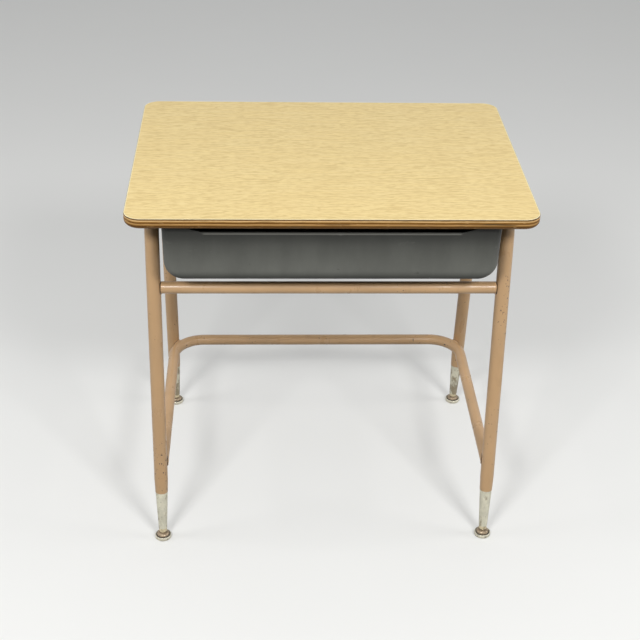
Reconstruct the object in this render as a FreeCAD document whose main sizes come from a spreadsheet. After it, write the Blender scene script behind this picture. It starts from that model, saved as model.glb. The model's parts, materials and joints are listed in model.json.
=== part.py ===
"""School desk with a lift lid: tube frame, moulded book box, hinged plywood top and swivel glides.

Millimetres. The origin is on the floor under the middle of the top, +Z is up, the pupil sits at -Y
and +X is to the pupil's right.
"""
import FreeCAD, Part
import os
import re

import Sketcher

# Driving dimensions: word in the sheet, value, what it measures
SIZES = [
    ("top_height", 605.6, "writing surface above the floor"),
    ("lid_width", 609.6, "lid, left to right"),
    ("lid_depth", 457.2, "lid, front to back"),
    ("lid_corner", 25.4, "radius of the lid's corners"),
    ("laminate_thickness", 1.2, "plastic laminate on top"),
    ("core_thickness", 15.7, "plywood core"),
    ("backer_thickness", 0.8, "backer sheet under the core"),
    ("edge_ease", 0.6, "bevel filed on the laminate's edge"),
    ("edge_round", 8.0, "rounding routed under the lid's edge"),
    ("bumper_height", 2.3, "rubber bumper under the lid"),
    ("bumper_diameter", 14.0, "rubber bumper, where it is stuck on"),
    ("bumper_taper", 1.5, "how much the bumper's radius shrinks to its tip"),
    ("bumper_inset", 50.0, "bumpers from the ends of the rim flange"),
    ("seat_gap", 0.2, "bumper above the rim of the book box"),
    ("side_overhang", 34.8, "lid past the leg axes at each side"),
    ("front_overhang", 19.7, "lid past the front feet"),
    ("rear_overhang", 35.9, "lid past the rear feet"),
    ("leg_lean", 6.05, "lean of the legs, feet outwards, degrees"),
    ("leg_diameter", 22.2, "side frame tube"),
    ("leg_wall", 1.6, "side frame tube's wall"),
    ("leg_bend", 38.1, "side frame's bends, to the tube's axis"),
    ("bar_diameter", 19.05, "tube of rails and stretcher"),
    ("bar_wall", 1.5, "wall of rails and stretcher"),
    ("rail_gap", 28.2, "rails below the underside of the book box"),
    ("stretcher_rise", 31.3, "axis of the lower stretcher above the necked feet"),
    ("stretcher_bend", 54.0, "stretcher's bends, to the tube's axis"),
    ("arm_inset", 3.8, "stretcher's arms inside the leg axes"),
    ("weld_bead", 1.6, "leg of the weld beads"),
    ("weld_gap", 0.3, "root gap under a weld"),
    ("weld_ball", 8.0, "radius of the weld between stretcher and rear leg"),
    ("foot_height", 20.0, "lower end of the leg tips above the floor"),
    ("tip_length", 71.0, "plated tip that shows below the paint"),
    ("tip_step", 0.3, "tip below the painted tube's surface"),
    ("tip_end_diameter", 14.0, "tip at its lower end"),
    ("neck_length", 24.0, "necked stretch of the painted tube"),
    ("neck_diameter", 20.6, "painted tube at its end"),
    ("spigot_length", 22.0, "tip inside the tube"),
    ("press_clearance", 0.03, "between pieces that are pressed together"),
    ("stem_diameter", 6.8, "glide stem in the tip"),
    ("stem_length", 24.0, "glide stem in the tip"),
    ("stem_room", 2.0, "bore above the stem"),
    ("collar_diameter", 13.0, "collar on the glide stem"),
    ("collar_gap", 2.2, "collar above the retainer"),
    ("stem_neck_diameter", 5.4, "stem between collar and ball"),
    ("ball_diameter", 8.4, "ball end of the glide stem"),
    ("ball_height", 8.0, "middle of the ball above the floor"),
    ("ball_clearance", 0.05, "between ball and seat"),
    ("base_diameter", 27.0, "glide base"),
    ("base_height", 6.8, "glide base"),
    ("base_floor", 1.8, "glide base's floor"),
    ("base_wall", 1.5, "glide base's wall"),
    ("base_edge", 2.8, "rounding of the glide base's lower edge"),
    ("base_roll", 1.1, "rounding of the glide base's rim"),
    ("boss_diameter", 12.0, "boss that seats the ball"),
    ("boss_drop", 1.7, "boss below the middle of the ball"),
    ("cushion_rise", 0.8, "rubber cushion above the glide base's rim"),
    ("retainer_inset", 1.5, "domed retainer inside the glide base's wall"),
    ("retainer_sink", 1.3, "underside of the retainer's crown below the ball's top"),
    ("retainer_crown", 10.8, "flat crown of the retainer, across"),
    ("retainer_hole", 8.0, "hole in the retainer"),
    ("retainer_thickness", 1.1, "sheet of the retainer"),
    ("box_side_gap", 7.7, "book box inside the side frames' tubes"),
    ("box_setback", 17.5, "front of the book box behind the lid's front edge"),
    ("box_hinge_gap", 0.4, "book box's rear lip in front of the hinge brackets"),
    ("box_depth", 92.1, "book box, rim to underside"),
    ("box_draft", 1.2, "draft of the book box's walls, degrees"),
    ("box_wall", 3.0, "book box's wall"),
    ("box_corner", 30.0, "lower side corners of the book box"),
    ("box_edge", 10.0, "other outside edges of the book box"),
    ("notch_inset", 58.5, "hand notch's bottom from the sides of the book box"),
    ("notch_run", 28.0, "sloping end of the hand notch"),
    ("notch_depth", 10.2, "hand notch below the rim"),
    ("notch_corner", 12.0, "rounding at the foot of the notch's slopes"),
    ("notch_lip", 1.2, "rounding of the notch's front edge"),
    ("rim_thickness", 2.5, "rim flanges of the book box"),
    ("rim_reach", 9.0, "rim flange past the side rail's axis"),
    ("rim_inset", 8.0, "rim flange short of the side rail's bends"),
    ("rear_lip", 5.0, "stiffening lip behind the book box"),
    ("lip_inset", 14.0, "rear lip short of the box's sides"),
    ("rim_screw_inset", 25.0, "outer rim screws from the ends of the rim flange"),
    ("pivot_setback", 12.6, "lid pivot in front of the lid's rear edge"),
    ("pivot_drop", 9.0, "lid pivot below the lid"),
    ("pin_diameter", 6.0, "hinge pin"),
    ("pin_head_diameter", 10.0, "hinge pin's heads"),
    ("pin_head_height", 1.8, "hinge pin's heads"),
    ("pin_clearance", 0.06, "between hinge pin and bracket"),
    ("ear_thickness", 3.0, "hinge ear on the frame"),
    ("ear_heel_gap", 0.4, "how much less the ear's heel reaches than the pivot drops"),
    ("ear_heel_drop", 3.0, "ear's heel below the pivot"),
    ("ear_reach", 140.0, "hinge ear in front of the pivot, along the side rail"),
    ("ear_neck", 30.0, "from the pivot to where the ear widens to its eye"),
    ("ear_height", 14.0, "hinge ear along the side rail"),
    ("eye_diameter", 14.0, "eye of the lid bracket and of the ear"),
    ("bracket_thickness", 2.2, "lid bracket"),
    ("bracket_width", 30.0, "lid bracket, left to right"),
    ("bracket_length", 40.0, "lid bracket, front to back"),
    ("bracket_lead", 6.0, "lid bracket behind the pivot"),
    ("bracket_cheek", 24.0, "cheek of the lid bracket in front of the pivot"),
    ("washer_diameter", 13.0, "washer between ear and bracket"),
    ("washer_thickness", 1.0, "washer between ear and bracket"),
    ("hinge_gap", 0.1, "side play at the hinge"),
    ("screw_diameter", 3.8, "all screws, shank"),
    ("screw_clearance", 0.08, "round a screw's shank"),
    ("screw_head_diameter", 8.4, "all screws, head"),
    ("screw_head_height", 1.7, "all screws, head"),
    ("screw_head_edge", 0.6, "upright rim of a screw's head"),
    ("bracket_screw_length", 11.0, "bracket screws in the lid"),
    ("rim_screw_length", 10.0, "rim screws below the rim flange"),
    ("screw_inset", 7.0, "bracket screws from the bracket's edges"),
    ("cut_overrun", 5.0, "how far cuts run past what they cut"),
]

# Shares: plain numbers that hold at any size
DOME_BEND_SHARE = 0.75

# Places worked out from the sheet's words
UNDERSIDE = "(top_height - laminate_thickness - core_thickness - backer_thickness)"
RIM_TOP = f"({UNDERSIDE} - bumper_height - seat_gap)"
SIDE_RAIL = f"({RIM_TOP} - rim_thickness - leg_diameter / 2)"
LEG_X = "(lid_width / 2 - side_overhang)"
FRAME_Y = "((front_overhang - rear_overhang) / 2)"
FOOT_Y = "((lid_depth - front_overhang - rear_overhang) / 2)"
PAINT_LINE = "(foot_height + tip_length)"
NECK_TOP = f"({PAINT_LINE} + neck_length)"
STRETCHER = f"({NECK_TOP} + stretcher_rise)"
PIVOT_Y = "(lid_depth / 2 - pivot_setback)"
PIVOT_Z = f"({UNDERSIDE} - pivot_drop)"
EAR_OUTSIDE = f"({LEG_X} - leg_diameter / 2 - weld_gap)"
EAR_INSIDE = f"({EAR_OUTSIDE} - ear_thickness)"
BRACKET_OUTSIDE = f"({EAR_INSIDE} - washer_thickness - hinge_gap)"
BOX_FRONT = "(-lid_depth / 2 + box_setback)"
BOX_HALF = f"({LEG_X} - leg_diameter / 2 - box_side_gap)"
BRACKET_FRONT = f"({PIVOT_Y} + bracket_lead - bracket_length)"
BOX_BACK = f"({BRACKET_FRONT} - box_hinge_gap - rear_lip)"
RAIL = f"({RIM_TOP} - box_depth - rail_gap - bar_diameter / 2)"
SEAT_RADIUS = "(ball_diameter / 2 + ball_clearance)"
CUSHION_TOP = "(base_height + cushion_rise)"
CROWN_UNDER = "(ball_height + ball_diameter / 2 - retainer_sink)"
CROWN_TOP = f"({CROWN_UNDER} + retainer_thickness)"


def leg_at(level):
    """How far a leg's axis is from the frame's middle, front or back, at a level."""
    return f"({FOOT_Y} - ({level} - ball_height) * tan(leg_lean))"


def on_leg(height, out="0"):
    """A place by the front leg, from the frame's middle: height along its axis, distance inwards."""
    along = f"({height} - ball_height)"
    y = f"(-{FOOT_Y} + {along} * sin(leg_lean) + {out} * cos(leg_lean))"
    z = f"(ball_height + {along} * cos(leg_lean) - {out} * sin(leg_lean))"
    return y, z


RAIL_CORNER = leg_at(SIDE_RAIL)
BEND_REACH = "(leg_bend * tan(45 - leg_lean / 2))"
RAIL_HALF = f"({RAIL_CORNER} - {BEND_REACH})"
RIM_HALF = f"({RAIL_HALF} - rim_inset)"
ARM_X = f"({LEG_X} - arm_inset)"
NEST_REACH = "(stretcher_bend + leg_diameter / 2 + bar_diameter / 2 + weld_gap)"
NEST_ACROSS = "(stretcher_bend + arm_inset)"
NEST_ALONG = f"sqrt({NEST_REACH} ^ 2 - {NEST_ACROSS} ^ 2)"
BEND_Y = f"({leg_at(STRETCHER)} - {NEST_ALONG})"
CROSS_Y = f"({BEND_Y} + stretcher_bend)"

SIDES = {"left": -1, "right": 1}
CORNERS = {
    "front_left": (-1, -1),
    "front_right": (1, -1),
    "rear_left": (-1, 1),
    "rear_right": (1, 1),
}
ALONG_X = FreeCAD.Vector(1, 0, 0)
ALONG_Y = FreeCAD.Vector(0, 1, 0)
ALONG_Z = FreeCAD.Vector(0, 0, 1)
UPRIGHT = FreeCAD.Rotation()
QUARTER_TURN = 90.0

doc = FreeCAD.newDocument("school_desk")
sheet = doc.addObject("Spreadsheet::Sheet", "Sizes")
nodes = []


# Sheet and expressions

def fill_sheet():
    """Writes each driving dimension into the sheet, with its word as the cell's alias."""
    for row, (word, number, meaning) in enumerate(SIZES, start=1):
        sheet.set(f"A{row}", meaning)
        sheet.set(f"B{row}", str(number))
        sheet.setAlias(f"B{row}", word)
    doc.recompute()


def in_document(expression):
    """The expression as another object writes it: every word of the sheet gets the sheet's name."""
    return re.sub(r"\b[a-z]+(?:_[a-z]+)+\b", lambda word: f"Sizes.{word.group(0)}", expression)


def size(expression):
    """The expression's present value, for first positions of sketch geometry."""
    return float(sheet.evalExpression(expression))


def bind(target, **expressions):
    """Binds properties of an object to expressions in the sheet's words."""
    for name, expression in expressions.items():
        target.setExpression(name, in_document(expression))


def put(target, x="0", y="0", z="0", rotation=UPRIGHT, angle=None):
    """Turns an object and binds its place, and the angle that it is turned by where one is given."""
    target.Placement = FreeCAD.Placement(FreeCAD.Vector(size(x), size(y), size(z)), rotation)
    for axis, expression in zip("xyz", (x, y, z)):
        target.setExpression(f"Placement.Base.{axis}", in_document(expression))
    if angle is not None:
        target.setExpression("Placement.Rotation.Angle", in_document(angle))


def node(target, label):
    """Names an object as a piece of its own."""
    target.Label = label
    nodes.append(target)
    return target


# Sketches

def new_sketch(body, plane, lift="0"):
    """A sketch on one of the body's own origin planes, lifted along the plane's normal."""
    sketch = body.newObject("Sketcher::SketchObject", f"{body.Name}_sketch")
    support = next(face for face in body.Origin.OriginFeatures if face.Role == f"{plane}_Plane")
    sketch.AttachmentSupport = [(support, "")]
    sketch.MapMode = "FlatFace"
    sketch.setExpression("AttachmentOffset.Base.z", in_document(lift))
    return sketch


def fix_point(sketch, geometry, point, x, y):
    """Holds one point of the sketch at a place given by two expressions."""
    for kind, axis, expression in (("DistanceX", -2, x), ("DistanceY", -1, y)):
        number = size(expression)
        if number == 0:
            sketch.addConstraint(Sketcher.Constraint("PointOnObject", geometry, point, axis))
        else:
            index = sketch.addConstraint(Sketcher.Constraint(kind, -1, 1, geometry, point, number))
            sketch.setExpression(f"Constraints[{index}]", in_document(expression))


def fix_radius(sketch, geometry, radius):
    """Holds the radius of a circle or an arc."""
    index = sketch.addConstraint(Sketcher.Constraint("Radius", geometry, size(radius)))
    sketch.setExpression(f"Constraints[{index}]", in_document(radius))


def draw_circle(sketch, x, y, radius):
    """Draws a circle."""
    centre = FreeCAD.Vector(size(x), size(y), 0)
    circle = Part.Circle(centre, FreeCAD.Vector(0, 0, 1), size(radius))
    geometry = sketch.addGeometry(circle)
    fix_point(sketch, geometry, 3, x, y)
    fix_radius(sketch, geometry, radius)


def arc_between(start, end, radius, turn):
    """The arc of under a half circle from start to end, turning left (1) or right (-1)."""
    chord = end - start
    rise = max(radius ** 2 - (chord.Length / 2) ** 2, 0) ** 0.5
    left = FreeCAD.Vector(-chord.y, chord.x, 0).normalize()
    centre = (start + end) * 0.5 + left * (rise * turn)
    first, last = (start, end) if turn > 0 else (end, start)
    circle = Part.Circle(centre, FreeCAD.Vector(0, 0, 1), radius)
    return Part.ArcOfCircle(circle, circle.parameter(first), circle.parameter(last))


def draw(sketch, corners, closed=True):
    """Draws lines and arcs through corners (x, y) or, where an arc starts, (x, y, turn, radius)."""
    places = [FreeCAD.Vector(size(corner[0]), size(corner[1]), 0) for corner in corners]
    runs = []
    for number, corner in enumerate(corners):
        if not closed and number == len(corners) - 1:
            break
        start, end = places[number], places[(number + 1) % len(corners)]
        if len(corner) == 2:
            runs.append((sketch.addGeometry(Part.LineSegment(start, end)), 1, 2))
            continue
        turn, radius = corner[2], corner[3]
        geometry = sketch.addGeometry(arc_between(start, end, size(radius), turn))
        runs.append((geometry, 1, 2) if turn > 0 else (geometry, 2, 1))
        fix_radius(sketch, geometry, radius)
    for number, (geometry, first, last) in enumerate(runs):
        fix_point(sketch, geometry, first, *corners[number][:2])
        if number + 1 < len(runs) or closed:
            following = runs[(number + 1) % len(runs)]
            join = Sketcher.Constraint("Coincident", geometry, last, following[0], following[1])
            sketch.addConstraint(join)
        else:
            fix_point(sketch, geometry, last, *corners[-1][:2])


def rounded_rectangle(half_x, half_y, corner):
    """Corners of a rectangle about the origin with rounded corners, counter-clockwise."""
    near_x, near_y = f"({half_x} - {corner})", f"({half_y} - {corner})"
    return [
        (f"-{near_x}", f"-{half_y}"),
        (near_x, f"-{half_y}", 1, corner),
        (half_x, f"-{near_y}"),
        (half_x, near_y, 1, corner),
        (near_x, half_y),
        (f"-{near_x}", half_y, 1, corner),
        (f"-{half_x}", near_y),
        (f"-{half_x}", f"-{near_y}", 1, corner),
    ]


def rectangle(x_low, x_high, y_low, y_high):
    """Corners of a plain rectangle."""
    return [(x_low, y_low), (x_high, y_low), (x_high, y_high), (x_low, y_high)]


# Features of a body

def new_body(label):
    """An empty body."""
    return doc.addObject("PartDesign::Body", label)


def pad(body, sketch, length, symmetric=False, reverse=False, taper=None):
    """Pads a sketch."""
    feature = body.newObject("PartDesign::Pad", f"{body.Name}_pad")
    feature.Profile = sketch
    feature.SideType = "Symmetric" if symmetric else "One side"
    feature.Reversed = reverse
    bind(feature, Length=length)
    if taper is not None:
        bind(feature, TaperAngle=taper)
    doc.recompute()
    return feature


def pocket(body, sketch, length, symmetric=False, reverse=False):
    """Cuts a sketch out of the body, and stops if that took nothing away."""
    before = body.Shape.Volume
    feature = body.newObject("PartDesign::Pocket", f"{body.Name}_pocket")
    feature.Profile = sketch
    feature.Type = "Length"
    feature.SideType = "Symmetric" if symmetric else "One side"
    feature.Reversed = reverse
    bind(feature, Length=length)
    doc.recompute()
    if body.Shape.Volume >= before:
        raise RuntimeError(f"{body.Name}: a pocket cut nothing")
    return feature


def revolve(body, sketch, axis="V_Axis"):
    """Revolves a sketch a full turn."""
    feature = body.newObject("PartDesign::Revolution", f"{body.Name}_turning")
    feature.Profile = sketch
    feature.ReferenceAxis = (sketch, [axis])
    feature.Angle = 4 * QUARTER_TURN
    doc.recompute()
    return feature


def pipe(body, profile, path):
    """Sweeps a profile along a path."""
    feature = body.newObject("PartDesign::AdditivePipe", f"{body.Name}_pipe")
    feature.Profile = profile
    feature.Spine = (path, [""])
    doc.recompute()
    return feature


def edges_of(feature, wanted):
    """Names of the feature's edges that pass a test."""
    return [f"Edge{n}" for n, edge in enumerate(feature.Shape.Edges, start=1) if wanted(edge)]


def face_at(feature, direction):
    """Name of the feature's face that lies furthest along a direction."""
    def reach(number):
        return feature.Shape.Faces[number - 1].CenterOfMass.dot(direction)
    return f"Face{max(range(1, len(feature.Shape.Faces) + 1), key=reach)}"


def dress(body, kind, base, names, **sizes):
    """A fillet, chamfer or thickness on named edges or faces of the base feature."""
    feature = body.newObject(f"PartDesign::{kind}", f"{body.Name}_{kind.lower()}")
    feature.Base = (base, names)
    bind(feature, **sizes)
    doc.recompute()
    return feature


def runs_along(edge, direction):
    """Whether an edge is a straight line along a direction."""
    if edge.Curve.TypeId != "Part::GeomLine":
        return False
    return abs(edge.Curve.Direction.dot(direction)) > 0.99


def turned(label, corners, x="0", y="0", z="0", rotation=UPRIGHT, angle=None):
    """A piece turned on the lathe about its own Z axis: corners are (radius, height)."""
    body = new_body(label)
    sketch = new_sketch(body, "XZ")
    draw(sketch, corners)
    revolve(body, sketch)
    put(body, x, y, z, rotation, angle)
    return body


def group(label, members):
    """Separate solids of one kind that share a piece's name."""
    compound = doc.addObject("Part::Compound", label)
    compound.Links = members
    return node(compound, label)


def cylinder(radius, height, x="0", y="0", z="0", rotation=UPRIGHT, angle=None):
    """A plain cylinder, as a tool for booleans."""
    tool = doc.addObject("Part::Cylinder", "cylinder")
    bind(tool, Radius=radius, Height=height)
    put(tool, x, y, z, rotation, angle)
    return tool


def leaning(end):
    """The turn of the front (-1) or rear (1) legs from upright."""
    return FreeCAD.Rotation(ALONG_X * end, size("leg_lean"))


def leg_rod(radius, length, side, end, level):
    """A cylinder that starts at a level and runs up along a leg's axis."""
    y = f"{FRAME_Y} + {end} * {leg_at(level)}"
    return cylinder(radius, length, f"{side} * {LEG_X}", y, level, leaning(end), "leg_lean")


def boolean(kind, label, base, tools):
    """Cuts the base by one tool after another, or takes what it shares with each."""
    result = base
    for tool in tools:
        step = doc.addObject(f"Part::{kind}", f"{label}_{kind}")
        step.Base = result
        step.Tool = tool
        result = step
    doc.recompute()
    return result


# The lid

def bracket_screw_places():
    """Places of the bracket screws in plan: two along the front of each bracket, one behind."""
    front = f"({BRACKET_FRONT} + screw_inset)"
    back = f"({PIVOT_Y} + bracket_lead - screw_inset)"
    near = f"({BRACKET_OUTSIDE} - bracket_thickness - screw_inset)"
    far = f"({BRACKET_OUTSIDE} - bracket_width + screw_inset)"
    places = []
    for sign in SIDES.values():
        places += [(f"{sign} * {near}", front), (f"{sign} * {far}", front), (f"{sign} * {far}", back)]
    return places


def lid_blank():
    """The glued-up lid: outline, bevelled top edge, rounded lower edge and pilot holes."""
    body = new_body("lid_blank")
    sketch = new_sketch(body, "XY")
    draw(sketch, rounded_rectangle("(lid_width / 2)", "(lid_depth / 2)", "lid_corner"))
    slab = pad(body, sketch, "(laminate_thickness + core_thickness + backer_thickness)")
    bevelled = dress(body, "Chamfer", slab, [face_at(slab, ALONG_Z)], Size="edge_ease")
    dress(body, "Fillet", bevelled, [face_at(bevelled, -ALONG_Z)], Radius="edge_round")
    holes = new_sketch(body, "XY")
    for x, y in bracket_screw_places():
        draw_circle(holes, x, y, "(screw_diameter / 2 + screw_clearance)")
    pocket(body, holes, "bracket_screw_length", reverse=True)
    put(body, z=UNDERSIDE)
    return body


def lid_layer(label, blank, thickness, bottom):
    """One sheet of the lid: what the blank holds between two levels."""
    slab = doc.addObject("Part::Box", f"{label}_slab")
    bind(slab, Length="lid_width + 2 * cut_overrun", Width="lid_depth + 2 * cut_overrun", Height=thickness)
    put(slab, "-lid_width / 2 - cut_overrun", "-lid_depth / 2 - cut_overrun", bottom)
    node(boolean("Common", label, blank, [slab]), label)


def make_lid():
    """Backer, core and laminate, with the bumpers stuck under them."""
    blank = lid_blank()
    lid_layer("lid_backer", blank, "backer_thickness", UNDERSIDE)
    lid_layer("lid_core", blank, "core_thickness", f"{UNDERSIDE} + backer_thickness")
    lid_layer("lid_laminate", blank, "laminate_thickness", "top_height - laminate_thickness")
    root, tip = "(bumper_diameter / 2)", "(bumper_diameter / 2 - bumper_taper)"
    profile = [("0", "-bumper_height"), (tip, "-bumper_height"), (root, "0"), ("0", "0")]
    bumpers = []
    for corner, (side, end) in CORNERS.items():
        y = f"{FRAME_Y} + {end} * ({RIM_HALF} - bumper_inset)"
        bumpers.append(turned(f"bumper_{corner}", profile, f"{side} * {LEG_X}", y, UNDERSIDE))
    group("lid_bumpers", bumpers)


# The hinges

def screw_profile(length):
    """A screw hanging from its head: the shank runs up from height 0, the head hangs below."""
    head, shank = "(screw_head_diameter / 2)", "(screw_diameter / 2)"
    crown = "(screw_head_height - screw_head_edge)"
    dome = f"(({head} ^ 2 + {crown} ^ 2) / (2 * {crown}))"
    return [
        ("0", "-screw_head_height", 1, dome),
        (head, "-screw_head_edge"),
        (head, "0"),
        (shank, "0"),
        (shank, f"({length} - {shank})"),
        ("0", length),
    ]


def hinge_ear(label, side):
    """Flat ear welded along the inner side of a side rail, reaching back to the pivot's eye."""
    body = new_body(label)
    sketch = new_sketch(body, "YZ")
    eye = "(eye_diameter / 2)"
    heel_rise = "sqrt((eye_diameter / 2) ^ 2 - (ear_heel_drop / 2) ^ 2)"
    draw(sketch, [
        (f"{PIVOT_Y} + pivot_drop - ear_heel_gap", f"{PIVOT_Z} - ear_heel_drop"),
        (f"{PIVOT_Y} + {heel_rise}", f"{PIVOT_Z} - ear_heel_drop / 2", 1, eye),
        (PIVOT_Y, f"{PIVOT_Z} + {eye}"),
        (f"{PIVOT_Y} - {eye}", f"{PIVOT_Z} + {eye}"),
        (f"{PIVOT_Y} - ear_neck", f"{SIDE_RAIL} + ear_height / 2"),
        (f"{PIVOT_Y} - ear_reach", f"{SIDE_RAIL} + ear_height / 2"),
        (f"{PIVOT_Y} - ear_reach", f"{SIDE_RAIL} - ear_height / 2"),
        (f"{PIVOT_Y} - ear_neck", f"{SIDE_RAIL} - ear_height / 2"),
    ])
    draw_circle(sketch, PIVOT_Y, PIVOT_Z, "(pin_diameter / 2 + press_clearance)")
    pad(body, sketch, "ear_thickness", symmetric=True)
    put(body, x=f"{side} * ({EAR_OUTSIDE} - ear_thickness / 2)")
    node(body, label)


def lid_bracket(label, side):
    """Angle bracket under the lid: a screwed flange and a cheek whose eye turns on the pin."""
    body = new_body(label)
    eye = "(eye_diameter / 2)"
    flange_bottom = f"({UNDERSIDE} - bracket_thickness)"
    cheek = new_sketch(body, "YZ")
    draw(cheek, [
        (f"{PIVOT_Y} - {eye}", PIVOT_Z, 1, eye),
        (PIVOT_Y, f"{PIVOT_Z} - {eye}", 1, eye),
        (f"{PIVOT_Y} + {eye}", PIVOT_Z),
        (f"{PIVOT_Y} + bracket_lead", flange_bottom),
        (f"{PIVOT_Y} + bracket_lead", UNDERSIDE),
        (f"{PIVOT_Y} - bracket_cheek", UNDERSIDE),
        (f"{PIVOT_Y} - bracket_cheek", flange_bottom),
    ])
    draw_circle(cheek, PIVOT_Y, PIVOT_Z, "(pin_diameter / 2 + pin_clearance)")
    pad(body, cheek, "bracket_thickness", symmetric=True)
    flange = new_sketch(body, "XY", flange_bottom)
    outer = f"({side} * bracket_thickness / 2)"
    inner = f"({side} * (bracket_thickness / 2 - bracket_width))"
    draw(flange, rectangle(inner, outer, BRACKET_FRONT, f"{PIVOT_Y} + bracket_lead"))
    middle = f"({BRACKET_OUTSIDE} - bracket_thickness / 2)"
    for x, y in bracket_screw_places():
        if size(x) * side > 0:
            draw_circle(flange, f"{x} - {side} * {middle}", y, "(screw_diameter / 2 + screw_clearance)")
    pad(body, flange, "bracket_thickness")
    put(body, x=f"{side} * {middle}")
    node(body, label)


def hinge_pin(label, side, rotation):
    """Rivet through ear, washer and bracket, with a head at each end."""
    head, shank = "(pin_head_diameter / 2)", "(pin_diameter / 2)"
    far = f"({BRACKET_OUTSIDE} - bracket_thickness - hinge_gap - {EAR_OUTSIDE})"
    body = turned(label, [
        ("0", f"{far} - pin_head_height"),
        (head, f"{far} - pin_head_height"),
        (head, far),
        (shank, far),
        (shank, "0"),
        (head, "0"),
        (head, "pin_head_height / 2"),
        (f"{head} - pin_head_height / 2", "pin_head_height"),
        ("0", "pin_head_height"),
    ], f"{side} * {EAR_OUTSIDE}", PIVOT_Y, PIVOT_Z, rotation)
    node(body, label)


def hinge_washer(label, side, rotation):
    """Nylon washer on the pin, between ear and bracket."""
    bore, rim = "(pin_diameter / 2 + pin_clearance)", "(washer_diameter / 2)"
    profile = rectangle(bore, rim, "-washer_thickness", "0")
    body = turned(label, profile, f"{side} * {EAR_INSIDE}", PIVOT_Y, PIVOT_Z, rotation)
    node(body, label)


def make_hinges():
    """Both hinges and the screws of their brackets."""
    for name, side in SIDES.items():
        outwards = FreeCAD.Rotation(ALONG_Y, side * QUARTER_TURN)
        hinge_ear(f"{name}_hinge_ear", side)
        lid_bracket(f"{name}_hinge_bracket", side)
        hinge_pin(f"{name}_hinge_pin", side, outwards)
        hinge_washer(f"{name}_hinge_washer", side, outwards)
    profile = screw_profile("(bracket_screw_length + bracket_thickness)")
    screws = []
    for number, (x, y) in enumerate(bracket_screw_places(), start=1):
        screws.append(turned(f"bracket_screw_{number}", profile, x, y, f"{UNDERSIDE} - bracket_thickness"))
    group("hinge_bracket_screws", screws)


# The frame

def rim_screw_places():
    """Places along a side rail, from its middle, of the screws that hold the book box's rim."""
    reach = f"({RIM_HALF} - rim_screw_inset)"
    return [f"-{reach}", "0", reach]


def side_frame(label, side):
    """Front leg, top rail and rear leg bent from one tube, feet outwards, necked at both feet."""
    body = new_body(label)
    outside, inside = "(leg_diameter / 2)", "(leg_diameter / 2 - leg_wall)"
    ring = new_sketch(body, "XZ")
    draw_circle(ring, "0", SIDE_RAIL, outside)
    draw_circle(ring, "0", SIDE_RAIL, inside)
    path = new_sketch(body, "YZ")
    bend_end_y = f"-{RAIL_CORNER} - {BEND_REACH} * sin(leg_lean)"
    draw(path, [
        ("0", SIDE_RAIL),
        (f"-{RAIL_HALF}", SIDE_RAIL, 1, "leg_bend"),
        (bend_end_y, f"{SIDE_RAIL} - {BEND_REACH} * cos(leg_lean)"),
        on_leg(NECK_TOP),
    ], closed=False)
    front_half = pipe(body, ring, path)
    neck = new_sketch(body, "YZ")
    ends = [on_leg(height) for height in ("foot_height", NECK_TOP)]
    low, high = (FreeCAD.Vector(size(y), size(z), 0) for y, z in ends)
    line = neck.addGeometry(Part.LineSegment(low, high), True)
    for point, (y, z) in enumerate(ends, start=1):
        fix_point(neck, line, point, y, z)
    draw(neck, [
        on_leg(NECK_TOP, inside),
        on_leg(PAINT_LINE, "(neck_diameter / 2 - leg_wall)"),
        on_leg(PAINT_LINE, "(neck_diameter / 2)"),
        on_leg(NECK_TOP, outside),
    ])
    front_neck = revolve(body, neck, "Axis0")
    rear_half = body.newObject("PartDesign::Mirrored", f"{body.Name}_mirror")
    rear_half.Originals = [front_half, front_neck]
    plane = next(face for face in body.Origin.OriginFeatures if face.Role == "XZ_Plane")
    rear_half.MirrorPlane = (plane, [""])
    body.Tip = rear_half
    doc.recompute()
    holes = new_sketch(body, "XY", SIDE_RAIL)
    for y in rim_screw_places():
        draw_circle(holes, "0", y, "(screw_diameter / 2 + screw_clearance)")
    pocket(body, holes, "leg_diameter", reverse=True)
    put(body, f"{side} * {LEG_X}", FRAME_Y)
    node(body, label)


def cross_rail(label, end):
    """Straight tube between two legs, its ends coped to the legs' round."""
    y = f"{FRAME_Y} + {end} * {leg_at(RAIL)}"
    along = FreeCAD.Rotation(ALONG_Y, QUARTER_TURN)
    span = f"2 * {LEG_X}"
    outer = cylinder("bar_diameter / 2", span, f"-{LEG_X}", y, RAIL, along)
    tools = [cylinder("bar_diameter / 2 - bar_wall", span, f"-{LEG_X}", y, RAIL, along)]
    for side in SIDES.values():
        tools.append(leg_rod("leg_diameter / 2", "2 * bar_diameter", side, end, f"({RAIL} - bar_diameter)"))
    node(boolean("Cut", label, outer, tools), label)


def lower_stretcher():
    """U-shaped tube: arms from the front legs, bends that nest against the rear legs."""
    body = new_body("stretcher_tube")
    front = f"-{leg_at(STRETCHER)}"
    ring = new_sketch(body, "XZ", leg_at(STRETCHER))
    draw_circle(ring, f"-{ARM_X}", "0", "bar_diameter / 2")
    draw_circle(ring, f"-{ARM_X}", "0", "(bar_diameter / 2 - bar_wall)")
    path = new_sketch(body, "XY")
    draw(path, [
        (f"-{ARM_X}", front),
        (f"-{ARM_X}", BEND_Y, -1, "stretcher_bend"),
        (f"-{ARM_X} + stretcher_bend", CROSS_Y),
        (f"{ARM_X} - stretcher_bend", CROSS_Y, -1, "stretcher_bend"),
        (ARM_X, BEND_Y),
        (ARM_X, front),
    ], closed=False)
    pipe(body, ring, path)
    put(body, y=FRAME_Y, z=STRETCHER)
    below = f"({STRETCHER} - bar_diameter)"
    legs = [leg_rod("leg_diameter / 2", "2 * bar_diameter", side, -1, below) for side in SIDES.values()]
    node(boolean("Cut", "lower_stretcher", body, legs), "lower_stretcher")


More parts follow.
